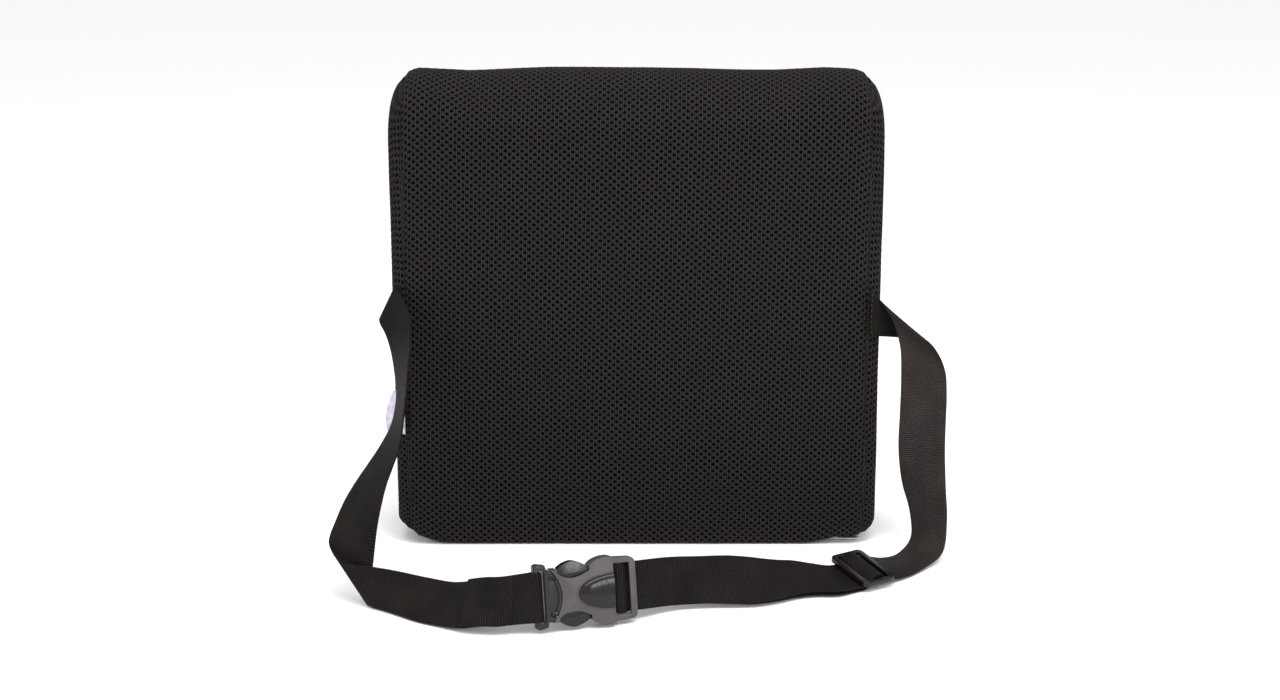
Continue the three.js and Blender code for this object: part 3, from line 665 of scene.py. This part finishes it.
def meshFabric():
    # knitted polyester, nearly black, with a fine sparkle; inside the holes the colour is painted down to black, a
    # painted shade
    mat, tree, shader = newMaterial("meshFabric", (0.03, 0.028, 0.029), 0.66)
    deep = put(tree, "ShaderNodeAttribute", {"attribute_name": "deep"}).outputs["Fac"]
    flat = put(tree, "ShaderNodeAttribute", {"attribute_name": "flat"}).outputs["Vector"]
    knit = bands(tree, flat, "X", 260.0, Distortion=2.5, Detail=2.0)
    mixed = calc(tree, "MULTIPLY_ADD", noise(tree, flat, 2400, 2.0), 0.7, knit)
    light = ramp(tree, mixed, [(0.25, (0.0035, 0.0027, 0.0028)), (0.75, (0.0082, 0.0066, 0.0067)),
                               (1.0, (0.026, 0.022, 0.0215))])
    patches = ramp(tree, noise(tree, flat, 34, 3.0), [(0.3, (0.7, 0.7, 0.7)), (0.7, (1, 1, 1))])
    unevenTone = between(tree, 0.35, light, patches, blend_type="MULTIPLY")
    # painted shade: the colour goes to near black with the depth of each hole
    holeShade = ramp(tree, deep, [(0.3, (0, 0, 0)), (0.75, (1, 1, 1))])
    tree.links.new(between(tree, holeShade, unevenTone, (0.0012, 0.0012, 0.0012, 1)), shader.inputs["Base Color"])
    shader.inputs["Specular IOR Level"].default_value = 0.05
    bumpFrom(tree, shader, mixed, 0.5, 0.0003)
    return mat


def foamStuff():
    mat, tree, shader = newMaterial("greyFoam", (0.05, 0.05, 0.052), 0.9)
    cells = noise(tree, objectPlace(tree), 900, 2.0)
    colourFrom(tree, shader, cells, (0.3, (0.025, 0.025, 0.027)), (0.8, (0.08, 0.08, 0.082)))
    bumpFrom(tree, shader, cells, 0.5, 0.0006)
    return mat


def foamBody(name):
    # the foam block: the swollen body drawn in by the thickness of the cover
    sides, inset = block["sidePoints"], filling["inset"]
    points = block["points"].copy()
    points[sides:-sides] += puff.reshape(-1, 3)
    made = objectFrom(name, points, block["faces"])
    body = bmesh.new()
    body.from_mesh(made.data)
    bmesh.ops.recalc_face_normals(body, faces=body.faces)
    body.normal_update()
    shift = [vert.normal * -inset for vert in body.verts]
    rear, front, high = filling["groove"]
    for vert, move in zip(body.verts, shift):
        vert.co += move
        vert.co.z = max(vert.co.z, inset)
        if rear < vert.co.y < front:
            vert.co.z = max(vert.co.z, high)
    bmesh.ops.triangulate(body, faces=[f for f in body.faces if len(f.verts) > 4])
    body.to_mesh(made.data)
    body.free()
    return made


def buildCushion():
    tile, tree, cloth = holeTile(), netTree(), meshFabric()
    sewn, zipped = cushion["lip"], 2.5 * mm
    panels = [
        ("meshRearPanel", "cover_rear_panel", panelSurface("rearSurface", rearRun, 0.0, zipped, sewn)),
        ("meshFrontPanel", "cover_front_panel",
         panelSurface("frontSurface", frontRun, block["rearLength"], sewn, zipped)),
        ("meshSideLeft", "cover_side_left", sideSurfacePiece("leftSurface", -1)),
        ("meshSideRight", "cover_side_right", sideSurfacePiece("rightSurface", 1)),
    ]
    for name, node, (surface, centre, size) in panels:
        values = {
            "Tile": tile, "Columns": int(size[0] / net["pitch"]) + 3, "Rows": int(size[1] / net["row"]) + 3,
            "Pitch": net["pitch"], "Row": net["row"], "Centre": (*centre, 0.0),
            "Turn": (0.0, 0.0, math.radians(net["turn"])), "Material": cloth,
        }
        piece = applyTree(surface, tree, values, name)
        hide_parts(node)
        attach(piece, "cushion")
        bpy.data.objects.remove(surface)
        print(name, len(piece.data.polygons))
    bpy.data.objects.remove(tile)
    foam = foamBody("foamBlock")
    foam.data.materials.append(foamStuff())
    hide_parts("foam_core")
    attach(foam, "cushion")


buildCushion()
print("cushion built")


# straps: two runs of webbing, each edge of a run given point by point in millimetres
webbing = {
    "wide": 32 * mm,
    "thick": 1.4 * mm,
    "columns": 12,
    "perSpan": 7,          # cross-sections from one given pair to the next
    "rib": 1.7 * mm,       # pitch of the woven ribs
    "twill": 5.4 * mm,     # width of each band of the herringbone
    "paintedSheen": (34, 60, 190, 260),  # mm along the right strap where a painted sheen lightens it: the sheen starts, is full, ends, is gone
}
buckle = {"place": (-66, -217, 23.2), "heading": 18, "lean": 12}
glide = {"place": (155, -125.5, 9.4), "along": (-0.82, -0.57, 0), "up": (-0.54, 0.8, 0.22)}

buckleFrame = (Matrix.Translation(buckle["place"]) @ Matrix.Rotation(math.radians(buckle["heading"]), 4, "Z")
               @ Matrix.Rotation(math.radians(90 - buckle["lean"]), 4, "X"))


def glideMatrix():
    along = Vector(glide["along"]).normalized()
    out = Vector(glide["up"]).cross(along).normalized()
    across = out.cross(along).normalized()
    turned = Matrix.Identity(4)
    for row in range(3):
        turned[row][0], turned[row][1], turned[row][2] = along[row], across[row], along.cross(across)[row]
    return Matrix.Translation(glide["place"]) @ turned


glideFrame = glideMatrix()

leftRun = [
    ((-164.6, -50.3, 192), (-164.6, -50.3, 160)), ((-168, -50, 192), (-174, -49, 163)),
    ((-168.5, -52, 191.5), (-180, -52, 168)), ((-164, -57, 187), (-179.5, -55, 166)),
    ((-157, -70, 176), (-176, -57.5, 160)), ((-155, -84, 159), (-172.5, -59, 150)),
    ((-156, -95, 143), (-169, -66, 135)), ((-157, -104, 126), (-167, -75, 118)),
    ((-159, -110, 108), (-170, -82, 101)), ((-160.5, -119, 95), (-176.5, -93, 89)),
    ((-164, -128, 85), (-184, -105, 79)), ((-168, -139, 74), (-192, -119, 69)),
    ((-170.5, -150, 63), (-198, -134, 60)), ((-172.5, -160, 50), (-202, -148, 51)),
    ((-175, -166, 28), (-204, -158, 46)), ((-178, -167, 9), (-204.5, -163, 42)),
    ((-179, -172, 2), (-201, -169, 37)), ((-175, -177, 1.2), (-194, -171, 31)),
    ((-167, -183, 1.2), (-180, -167, 27)), ((-157, -191, 1.2), (-160, -166, 23)),
    ((-145, -201, 1.2), (-138, -175, 21.5)), ((-130, -210, 1.4), (-120, -186, 22.5)),
]
leftDouble = [
    ((-114, -219, 3), (-107, -200, 28.5)), ((-100, -222.5, 5.4), (-94.5, -210.5, 34.6)),
    ((-88, -223.5, 6), (-86.5, -214.5, 36.7)),
]
rightRun = [
    ((164.6, -50.3, 188), (164.6, -50.3, 156)), ((168.5, -47.5, 184), (187, -44, 153)),
    ((172.5, -48.5, 178.5), (204, -48, 151.5)), ((179, -56, 168), (212, -55, 144)),
    ((184.5, -58, 151), (217, -58, 132)), ((186, -58, 128), (218.5, -59, 115)),
    ((186, -57, 102), (218.5, -59, 97)), ((186, -55, 75), (218.5, -60, 74)),
    ((190, -50, 48), (219, -66, 50)), ((196, -50, 27), (219.5, -74, 28)),
    ((196.2, -60.4, 10.4), (215.7, -85.7, 8)), ((185.5, -75, 3.2), (202, -102, 2.6)),
    ((172, -91.5, 5.6), (187.5, -119, 2)),
]
rightDouble = [
    ((118.5, -130.5, 15.6), (135.5, -157, 4.8)), ((107, -130, 17.4), (122.2, -157, 4.7)),
    ((95.7, -135.5, 19.8), (109.1, -161, 4.6)), ((84.8, -146, 24.6), (95.1, -169.5, 4.4)),
    ((73.4, -157.5, 30), (80.1, -175.5, 4)), ((60.4, -163.5, 33), (64.1, -176.5, 3.8)),
    ((42, -167, 33.8), (44, -177.5, 4)), ((22, -174.5, 35.6), (24, -182.5, 4.8)),
]
# along and out of the fitting, in its own frame
roundMaleBar = [(-8, 1.6), (-3, 3), (0.6, 4.3), (2.8, 4.2), (4.9, 2.6), (5.4, 0), (4.9, -2.6), (2.8, -4.2),
                (0.4, -4.1), (-3, -2.6), (-8, -1.4)]
throughGlide = [(-16, -2.4), (-9.4, -2.4), (-6, 1.2), (-2.6, 4), (2.6, 4), (6.2, 1.5), (9.4, -2.4), (16, -2.4)]
roundFemaleBar = [(73, -1.7), (69, -1.9), (65, -1.9), (62, 0.2), (59.6, 2.3), (57, 2.5), (55.3, 2.1), (54.2, 0),
                  (55.3, -2.3), (58, -3.2), (62, -4.4), (67, -4.9), (73, -4.8)]
backToGlide = [(16, -4.8), (9.8, -4.8), (5.6, -3.4), (1.6, -2.15), (-1.4, -2.15), (-3.6, -1), (-3.6, 1),
               (-1.4, 2.1), (1.9, 2.2), (4.6, 0.9), (6.4, -0.9)]


def crossing(fitting, stations, flip):
    half = webbing["wide"] / mm / 2
    return [(tuple(fitting @ Vector((along, flip * half, out))), tuple(fitting @ Vector((along, -flip * half, out))))
            for along, out in stations]


def behind(pairs, gap):
    # the same run again, lying against its own back
    a, b = np.array([p[0] for p in pairs], float), np.array([p[1] for p in pairs], float)
    middle = (a + b) / 2
    along = np.gradient(middle, axis=0)
    along[1:-1] = middle[2:] - middle[:-2]
    face = np.cross(along, a - b)
    face *= gap / np.linalg.norm(face, axis=1, keepdims=True)
    return list(zip(map(tuple, a + face), map(tuple, b + face)))


def centripetal(points, spans):
    # a centripetal Catmull-Rom curve through the points, evaluated at even parameters
    p = np.asarray(points, float)
    p = np.vstack([2 * p[0] - p[1], p, 2 * p[-1] - p[-2]])
    count = len(points) - 1
    out = []
    for k in range(count * spans + 1):
        i = min(k // spans, count - 1)
        f = (k - i * spans) / spans
        p0, p1, p2, p3 = p[i:i + 4]
        d0, d1, d2 = (max(float(np.linalg.norm(b - a)) ** 0.5, 1e-4) for a, b in ((p0, p1), (p1, p2), (p2, p3)))
        m1 = ((p1 - p0) / d0 - (p2 - p0) / (d0 + d1) + (p2 - p1) / d1) * d1
        m2 = ((p2 - p1) / d1 - (p3 - p1) / (d1 + d2) + (p3 - p2) / d2) * d1
        out.append(p1 + m1 * f + (-3 * p1 + 3 * p2 - 2 * m1 - m2) * f * f + (2 * p1 - 2 * p2 + m1 + m2) * f ** 3)
    return np.array(out)


def ribbon(name, pairs, material):
    # webbing with a soft rounded selvedge, its UV map in metres along and across
    a = centripetal([p[0] for p in pairs], webbing["perSpan"]) * mm
    b = centripetal([p[1] for p in pairs], webbing["perSpan"]) * mm
    middle = (a + b) / 2
    along = np.gradient(middle, axis=0)
    across = b - a
    face = np.cross(along, across)
    face /= np.linalg.norm(face, axis=1, keepdims=True)
    run = np.r_[0, np.cumsum(np.linalg.norm(np.diff(middle, axis=0), axis=1))]
    half = webbing["thick"] / 2
    columns = webbing["columns"]
    share = np.r_[0, 0.012, 0.035, np.linspace(0.08, 0.92, columns - 5), 0.965, 0.988, 1.0]
    bulge = np.sqrt(np.clip(1 - (1 - np.clip(np.minimum(share, 1 - share) / 0.035, 0, 1)) ** 2, 0, 1))
    bulge[0] = bulge[-1] = 0.35
    ring = [(t, h) for t, h in zip(share, bulge)] + [(t, -h) for t, h in zip(share[::-1], bulge[::-1])]
    points, uv = [], []
    for i in range(len(middle)):
        for t, h in ring:
            points.append(a[i] + across[i] * t + face[i] * half * h)
            uv.append((t * webbing["wide"], run[i]))
    made = objectFrom(name, points, tubeFaces(len(middle), len(ring)))
    faceOutwards(made.data)
    where = np.array(uv)
    giveFlat(made, where[:, 0], where[:, 1])
    made.data.materials.append(material)
    return made, float(run[-1])


def webbingStuff(name, lift):
    # twill of two rib directions; lift paints a sheen along its hanging run, a lighter colour standing in for light
    # on the webbing
    mat, tree, shader = newMaterial(name, (0.02, 0.018, 0.016), 0.55)
    uv = put(tree, "ShaderNodeUVMap", {"uv_map": "UVMap"}).outputs[0]
    parts = put(tree, "ShaderNodeSeparateXYZ", i0=uv)
    size = 2 * math.pi / webbing["rib"]
    across = calc(tree, "MULTIPLY", parts.outputs[0], size)
    along = calc(tree, "MULTIPLY", parts.outputs[1], size * 1.1)
    lean = calc(tree, "PINGPONG", parts.outputs[0], webbing["twill"])
    slanted = calc(tree, "ADD", along, calc(tree, "MULTIPLY", lean, size * 0.9))
    woven = calc(tree, "MULTIPLY", calc(tree, "SINE", across), calc(tree, "SINE", slanted))
    both = calc(tree, "MULTIPLY_ADD", woven, 0.3, noise(tree, uv, 1300, 2.0))
    tone = calc(tree, "MULTIPLY_ADD", noise(tree, uv, 30, 2.0), 0.35, both)
    weave = ramp(tree, tone, [(0.3, (0.0018, 0.0014, 0.0012)), (0.7, (0.0052, 0.0042, 0.0037)),
                              (1.0, (0.024, 0.0205, 0.0185))])
    if lift:
        # painted sheen: over the span given by lift the colour ramps up to a lighter tone and back down
        sheenRamps = [put(tree, "ShaderNodeMapRange", {"interpolation_type": "SMOOTHSTEP"}, i0=parts.outputs[1],
                     i1=lift[i] * mm, i2=lift[i + 1] * mm, i3=before, i4=1.0 - before).outputs[0]
                 for i, before in ((0, 0.0), (2, 1.0))]
        paintedSheenTone = ramp(tree, tone, [(0.3, (0.006, 0.0052, 0.0047)), (0.7, (0.016, 0.0132, 0.0122)),
                                   (1.0, (0.06, 0.052, 0.049))])
        weave = between(tree, calc(tree, "MULTIPLY", *sheenRamps), weave, paintedSheenTone)
    tree.links.new(weave, shader.inputs["Base Color"])
    bumpFrom(tree, shader, both, 0.9, 0.0005)
    shader.inputs["Specular IOR Level"].default_value = 0.05
    return mat


def buildStraps():
    stuff = webbingStuff("blackWebbing", None)
    # the right strap's material has a painted sheen, a lighter colour along its hanging run
    unevenTone = webbingStuff("blackWebbingPaintedSheen", webbing["paintedSheen"])
    left, leftLong = ribbon("webbingLeft", leftRun + leftDouble + crossing(buckleFrame, roundMaleBar, -1)
                            + behind(leftDouble, -3)[::-1], stuff)
    right, rightLong = ribbon("webbingRight", rightRun + crossing(glideFrame, throughGlide, -1) + rightDouble
                              + crossing(buckleFrame, roundFemaleBar, 1) + behind(rightDouble, 3)[::-1]
                              + crossing(glideFrame, backToGlide, -1), unevenTone)
    print("webbing lengths %.0f and %.0f mm" % (leftLong / mm, rightLong / mm))
    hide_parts("strap_left")
    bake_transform(left)
    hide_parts("strap_right")
    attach(right, "cushion")


buildStraps()
print("straps built")


# buckle, adjuster and zip: CAD shapes with softened edges
edges = {"buckleRound": 0.55 * mm, "glideRound": 0.6 * mm, "zipRound": 0.18 * mm}


def softened(node, name, rounding, material, segments=2):
    # a merged copy of a CAD piece with its edges rounded over
    source = bpy.data.objects[node]
    mesh = source.data.copy()
    body = bmesh.new()
    body.from_mesh(mesh)
    body.transform(source.matrix_world)
    bmesh.ops.remove_doubles(body, verts=body.verts, dist=0.01 * mm)
    bmesh.ops.dissolve_limit(body, angle_limit=math.radians(1.5), verts=body.verts, edges=body.edges)
    bmesh.ops.dissolve_degenerate(body, dist=0.02 * mm, edges=body.edges)
    body.to_mesh(mesh)
    body.free()
    made = addObject(name, mesh)
    mesh.materials.clear()
    mesh.materials.append(material)
    bevel = made.modifiers.new("round", "BEVEL")
    bevel.width = rounding
    bevel.segments = segments
    bevel.limit_method = "ANGLE"
    bevel.angle_limit = math.radians(35)
    bevel.use_clamp_overlap = True
    bevel.harden_normals = False
    made.data = solvedMesh(made)
    made.data.shade_smooth()
    made.data.set_sharp_from_angle(angle=math.radians(38))
    return made


def moulded(name, color, roughness, grain, strength):
    # injection-moulded plastic: a fine even texture with slightly shinier worn places
    mat, tree, shader = newMaterial(name, color, roughness)
    place = objectPlace(tree)
    fine = noise(tree, place, grain, 3.0)
    darker = tuple(c * 0.72 for c in color)
    colourFrom(tree, shader, noise(tree, place, 70, 2.0), (0.3, darker), (0.7, color))
    roughFrom(tree, shader, fine, roughness - 0.08, roughness + 0.08)
    bumpFrom(tree, shader, fine, strength, 0.0002)
    shader.inputs["Specular IOR Level"].default_value = 0.3
    return mat


def zincStuff():
    mat, tree, shader = newMaterial("zincAlloy", (0.62, 0.6, 0.57), 0.3, 1.0)
    scuffs = noise(tree, objectPlace(tree), 1400, 4.0)
    roughFrom(tree, shader, scuffs, 0.22, 0.42)
    bumpFrom(tree, shader, scuffs, 0.2, 0.0001)
    return mat


# the crowned shield on the buckle, in millimetres in the buckle's frame
shield = {
    "apex": 29.0, "base": 52.6, "half": 10.9, "low": 6.15, "crown": 2.0,
    "rim": 0.5, "rimGap": 1.0, "rimHigh": 5.7,  # the fine ridge round it
}


def shieldOutline(grow, t):
    # half outline from the middle of the rounded end to the corner at the window
    ends = [(shield["apex"] - grow, 0), (shield["apex"] - grow, 6 + grow), (40, shield["half"] - 0.4 + grow),
            (shield["base"], shield["half"] + grow)]
    weights = ((1 - t) ** 3, 3 * t * (1 - t) ** 2, 3 * t * t * (1 - t), t ** 3)
    return tuple(sum(w * p[k] for w, p in zip(weights, ends)) for k in (0, 1))


def domeShield():
    # the glossy crowned shield on the front of the female half, in the buckle's frame
    points = []
    rows, columns = 24, 20
    for r in range(rows + 1):
        t = 0.02 + 0.98 * r / rows
        u, half = shieldOutline(0, t)
        for c in range(columns + 1):
            v = -math.cos(math.pi * c / columns)
            crown = math.sqrt(max(0, 1 - abs(v) ** 2.6)) * min(1, 0.25 + 1.5 * t)
            points.append((u, v * half, shield["low"] + 0.5 + shield["crown"] * crown * min(1, 3 * t)))
    faces = gridFaces(rows + 1, columns + 1, False)
    top = len(points)
    outline = [r * (columns + 1) for r in range(rows + 1)]
    outline += [rows * (columns + 1) + c for c in range(1, columns + 1)]
    outline += [r * (columns + 1) + columns for r in range(rows - 1, -1, -1)]
    outline += list(range(columns - 1, 0, -1))
    points += [(points[i][0], points[i][1], shield["low"] - 0.9) for i in outline]
    count = len(outline)
    for i in range(count):
        j = (i + 1) % count
        faces.append((outline[i], outline[j], top + j, top + i))
    faces.append(tuple(range(top, top + count)))
    return points, faces


def inBuckle(name, points, faces, material):
    placed = [tuple(buckleFrame @ Vector(p) * mm) for p in points]
    made = objectFrom(name, placed, faces)
    body = bmesh.new()
    body.from_mesh(made.data)
    bmesh.ops.remove_doubles(body, verts=body.verts, dist=0.02 * mm)
    bmesh.ops.dissolve_degenerate(body, dist=0.01 * mm, edges=body.edges)
    bmesh.ops.recalc_face_normals(body, faces=body.faces)
    body.to_mesh(made.data)
    body.free()
    made.data.materials.append(material)
    made.data.shade_smooth()
    made.data.set_sharp_from_angle(angle=math.radians(42))
    return made


def bead(path, radius, sides=6):
    # a thin round ridge along a path
    path = [Vector(p) for p in path]
    points = []
    for i, p in enumerate(path):
        along = (path[min(i + 1, len(path) - 1)] - path[max(i - 1, 0)]).normalized()
        side = along.cross(Vector((0, 0, 1))).normalized()
        up = side.cross(along)
        for k in range(sides):
            t = 2 * math.pi * k / sides
            points.append(tuple(p + side * radius * math.cos(t) + up * radius * math.sin(t)))
    return points, tubeFaces(len(path), sides)


def buildBuckle():
    satin = moulded("greyNylon", (0.06, 0.052, 0.059), 0.4, 900, 0.3)
    dark = moulded("darkNylon", (0.012, 0.0105, 0.011), 0.34, 900, 0.15)
    gloss = moulded("blackAcetal", (0.007, 0.006, 0.0065), 0.2, 500, 0.03)
    female = softened("buckle_female_body", "buckleSocket", edges["buckleRound"], satin)
    male = softened("buckle_male_frame", "buckleTongue", edges["buckleRound"], dark)
    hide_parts("buckle_female_body")
    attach(female, "cushion")
    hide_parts("buckle_male_frame")
    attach(male, "male_half")
    for node, body in (("buckle_prong_upper", "prong_upper"), ("buckle_prong_lower", "prong_lower")):
        arm = softened(node, node.replace("buckle_prong_", "springProng"), edges["buckleRound"], gloss, 3)
        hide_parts(node)
        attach(arm, body)
    crown = inBuckle("buckleShield", *domeShield(), gloss)
    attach(crown, "cushion")
    half = [shieldOutline(shield["rimGap"], t) for t in np.linspace(0, 1, 21)]
    rimHigh = shield["rimHigh"]
    outline = [(u, -v, rimHigh) for u, v in half[::-1]] + [(u, v, rimHigh) for u, v in half[1:]]
    ridge = inBuckle("buckleShieldRim", *bead(outline, shield["rim"]), satin)
    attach(ridge, "cushion")
    adjuster = softened("triglide_slider", "adjusterSlide", edges["glideRound"], gloss, 3)
    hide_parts("triglide_slider")
    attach(adjuster, "adjuster")


buildBuckle()
print("buckle and adjuster built")


zipDetail = {
    "y": -35.5 * mm, "start": -149.7 * mm, "end": 146.7 * mm, "height": 4.75 * mm,
    "apart": 1.5 * mm,       # each row of turns from the middle of the zip
    "pitch": 1.5 * mm,
    "first": 0.4 * mm, "spare": 0.6 * mm,  # before the first turn, and left free in all
    "turn": 0.42 * mm, "wire": 0.19 * mm, "squash": 1.9,
    "tapeRound": 0.1 * mm,
}


def coilTree():
    # coil turns repeated along the edge of a tape
    tree, given = newTree("coilTurns", Turn="Object", Count="Int", Start="Vector", Step="Vector", Material="Material")
    line = put(tree, "GeometryNodeMeshLine", Count=given["Count"], Start_Location=given["Start"],
               Offset=given["Step"])
    return endTree(tree, copiesOn(tree, line.outputs[0], given["Turn"]), given["Material"])


def torus(major, minor, around, sides, squash):
    points, faces = [], []
    for i in range(around):
        a = 2 * math.pi * i / around
        for k in range(sides):
            b = 2 * math.pi * k / sides
            r = major + minor * math.cos(b)
            points.append((minor * math.sin(b), r * math.cos(a) * squash, r * math.sin(a)))
    for i in range(around):
        for k in range(sides):
            j, l = (i + 1) % around, (k + 1) % sides
            faces.append((i * sides + k, i * sides + l, j * sides + l, j * sides + k))
    return points, faces


def buildZip():
    metal = zincStuff()
    nylon = moulded("coilNylon", (0.02, 0.02, 0.021), 0.35, 900, 0.1)
    tape = meshTape()
    tree = coilTree()
    turn = objectFrom("coilTurn", *torus(zipDetail["turn"], zipDetail["wire"], 8, 5, zipDetail["squash"]))
    faceOutwards(turn.data)
    carrier = objectFrom("coilCarrier", [(0, 0, 0), (mm, 0, 0), (0, mm, 0)], [(0, 1, 2)])
    pitch = zipDetail["pitch"]
    count = int((zipDetail["end"] - zipDetail["start"] - zipDetail["spare"]) / pitch)
    for side, node in ((-1, "zipper_coil_rear"), (1, "zipper_coil_front")):
        start = (zipDetail["start"] + zipDetail["first"] + (side + 1) * 0.25 * pitch,
                 zipDetail["y"] + side * zipDetail["apart"], zipDetail["height"])
        values = {"Turn": turn, "Count": count, "Start": start, "Step": (pitch, 0, 0), "Material": nylon}
        turns = applyTree(carrier, tree, values, node.replace("zipper_coil_", "coilTurns_"))
        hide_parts(node)
        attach(turns, "cushion")
    bpy.data.objects.remove(turn)
    bpy.data.objects.remove(carrier)
    for node in ("zipper_tape_rear", "zipper_tape_front"):
        strip = softened(node, node.replace("zipper_", "zip_"), zipDetail["tapeRound"], tape)
        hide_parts(node)
        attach(strip, "cushion")
    for node, body in (("zipper_top_stop_front", "cushion"), ("zipper_top_stop_rear", "cushion"),
                       ("zipper_bottom_stop", "cushion"), ("zipper_slider", "slider"), ("zipper_pull", "pull")):
        made = softened(node, node.replace("zipper_", "zip_"), edges["zipRound"], metal)
        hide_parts(node)
        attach(made, body)


def meshTape():
    mat, tree, shader = newMaterial("zipTape", (0.016, 0.015, 0.015), 0.75)
    ribs = bands(tree, objectPlace(tree), "X", 420.0, Distortion=0.6)
    colourFrom(tree, shader, ribs, (0.2, (0.009, 0.009, 0.009)), (0.8, (0.024, 0.023, 0.023)))
    bumpFrom(tree, shader, ribs, 0.5, 0.0002)
    return mat


buildZip()
print("zip built")


# care label, in millimetres; thick is one of its two layers
label = {"top": 116.5, "bottom": 83.6, "out": -178.4, "seam": -164.4, "lean": -4.0, "y": -50.2, "thick": 0.35}


def buildLabel():
    # a blank woven label folded in two and caught in the seam, creased where the strap passes it
    rows, columns = 26, 14
    points = []
    for r in range(rows + 1):
        t = r / rows
        z = label["bottom"] + (label["top"] - label["bottom"]) * t
        narrow = 1 - 0.35 * t ** 3 - 0.3 * (1 - t) ** 4
        for c in range(columns + 1):
            s = c / columns
            x = label["seam"] + (label["out"] - label["seam"] + label["lean"] * (0.5 - t)) * s * narrow
            wave = 0.7 * math.sin(5.2 * t + 1.1) * s + 0.35 * math.sin(11 * t + 3 * s) * s
            points.append((x, label["y"] + wave, z + 0.8 * math.sin(3 * s + 2 * t)))
    faces = gridFaces(rows + 1, columns + 1, False)
    made = objectFrom("seamLabel", np.array(points) * mm, faces)
    thick = made.modifiers.new("thickness", "SOLIDIFY")
    thick.thickness = label["thick"] * mm * 2
    thick.offset = 0
    final = made.data = solvedMesh(made)
    faceOutwards(final)
    final.shade_smooth()
    mat, tree, shader = newMaterial("whiteSatinTape", (0.6, 0.57, 0.64), 0.45)
    place = objectPlace(tree)
    colourFrom(tree, shader, noise(tree, place, 180, 3.0), (0.35, (0.3, 0.27, 0.36)), (0.6, (0.5, 0.46, 0.57)))
    bumpFrom(tree, shader, bands(tree, place, "Z", 700.0), 0.4, 0.0002)
    final.materials.append(mat)
    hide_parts("care_label")
    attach(made, "cushion")


buildLabel()
print("label built")


# stitching, where each strap is sewn
stitch = {"long": 2.6 * mm, "gap": 1.0 * mm, "thick": 0.32 * mm, "sink": 0.12 * mm}


def stitchTree():
    # stitches repeated along each line of the carrier mesh, turned to follow it
    tree, given = newTree("stitchRow", Stitch="Object", Spacing="Float", Material="Material")
    curve = put(tree, "GeometryNodeMeshToCurve", Mesh=given["Geometry"])
    points = put(tree, "GeometryNodeCurveToPoints", {"mode": "LENGTH"}, Curve=curve.outputs[0],
                 Length=given["Spacing"]).outputs
    laid = copiesOn(tree, points["Points"], given["Stitch"], Rotation=points["Rotation"])
    return endTree(tree, laid, given["Material"])


def stitchShape():
    # a short thread, lying along its own Z, thinner where it dives into the cloth
    ends = [(-0.5, 0.3), (-0.36, 0.85), (0.0, 1.0), (0.36, 0.85), (0.5, 0.3)]
    sides = 6
    turns = [2 * math.pi * k / sides for k in range(sides)]
    points = [(stitch["thick"] * wide * math.cos(t), stitch["thick"] * wide * math.sin(t), stitch["long"] * along)
              for along, wide in ends for t in turns]
    return objectFrom("stitchShape", points, tubeFaces(len(ends), sides))


def threadStuff():
    mat, tree, shader = newMaterial("blackThread", (0.012, 0.011, 0.0105), 0.5)
    twist = noise(tree, objectPlace(tree), 2600, 2.0)
    colourFrom(tree, shader, twist, (0.3, (0.005, 0.0045, 0.004)), (0.8, (0.022, 0.02, 0.019)))
    bumpFrom(tree, shader, twist, 0.5, 0.0001)
    return mat


def ribbonSpot(pairs, span, across, out):
    # a point on a strap's face: span along the given pairs, across from 0 to 1
    i = min(int(span), len(pairs) - 2)
    f = span - i
    a = [Vector(p[0]) for p in pairs[i:i + 2]]
    b = [Vector(p[1]) for p in pairs[i:i + 2]]
    upper, lower = a[0].lerp(a[1], f), b[0].lerp(b[1], f)
    along = ((a[1] + b[1]) - (a[0] + b[0])).normalized()
    face = along.cross(lower - upper).normalized()
    return (upper.lerp(lower, across) + face * out) * mm


def buildStitches():
    thread, tree, shape = threadStuff(), stitchTree(), stitchShape()
    outside = webbing["thick"] / mm / 2 + stitch["sink"] / mm
    out = leftDouble + crossing(buckleFrame, roundMaleBar, -1)[:1]
    # a box where the left strap turns back, and a row where the right one leaves its seam
    corners = [(0.25, 0.12), (0.25, 0.88), (1.2, 0.88), (1.2, 0.12), (0.25, 0.12)]
    sewn = [ribbonSpot(out, span, across, outside) for span, across in corners]
    start = [ribbonSpot(rightRun, 0.0, t, -outside) for t in np.linspace(0.08, 0.92, 6)]
    for name, line, body in (("stitchesBody", start, "cushion"), ("stitchesTongueStrap", sewn, "male_half")):
        mesh = bpy.data.meshes.new(name)
        mesh.from_pydata([tuple(p) for p in line], [(k, k + 1) for k in range(len(line) - 1)], [])
        carrier = addObject(name + "Lines", mesh)
        values = {"Stitch": shape, "Spacing": stitch["long"] + stitch["gap"], "Material": thread}
        made = applyTree(carrier, tree, values, name)
        bpy.data.objects.remove(carrier)
        print(name, len(made.data.polygons))
        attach(made, body)
    bpy.data.objects.remove(shape)


buildStitches()
print("stitching built")
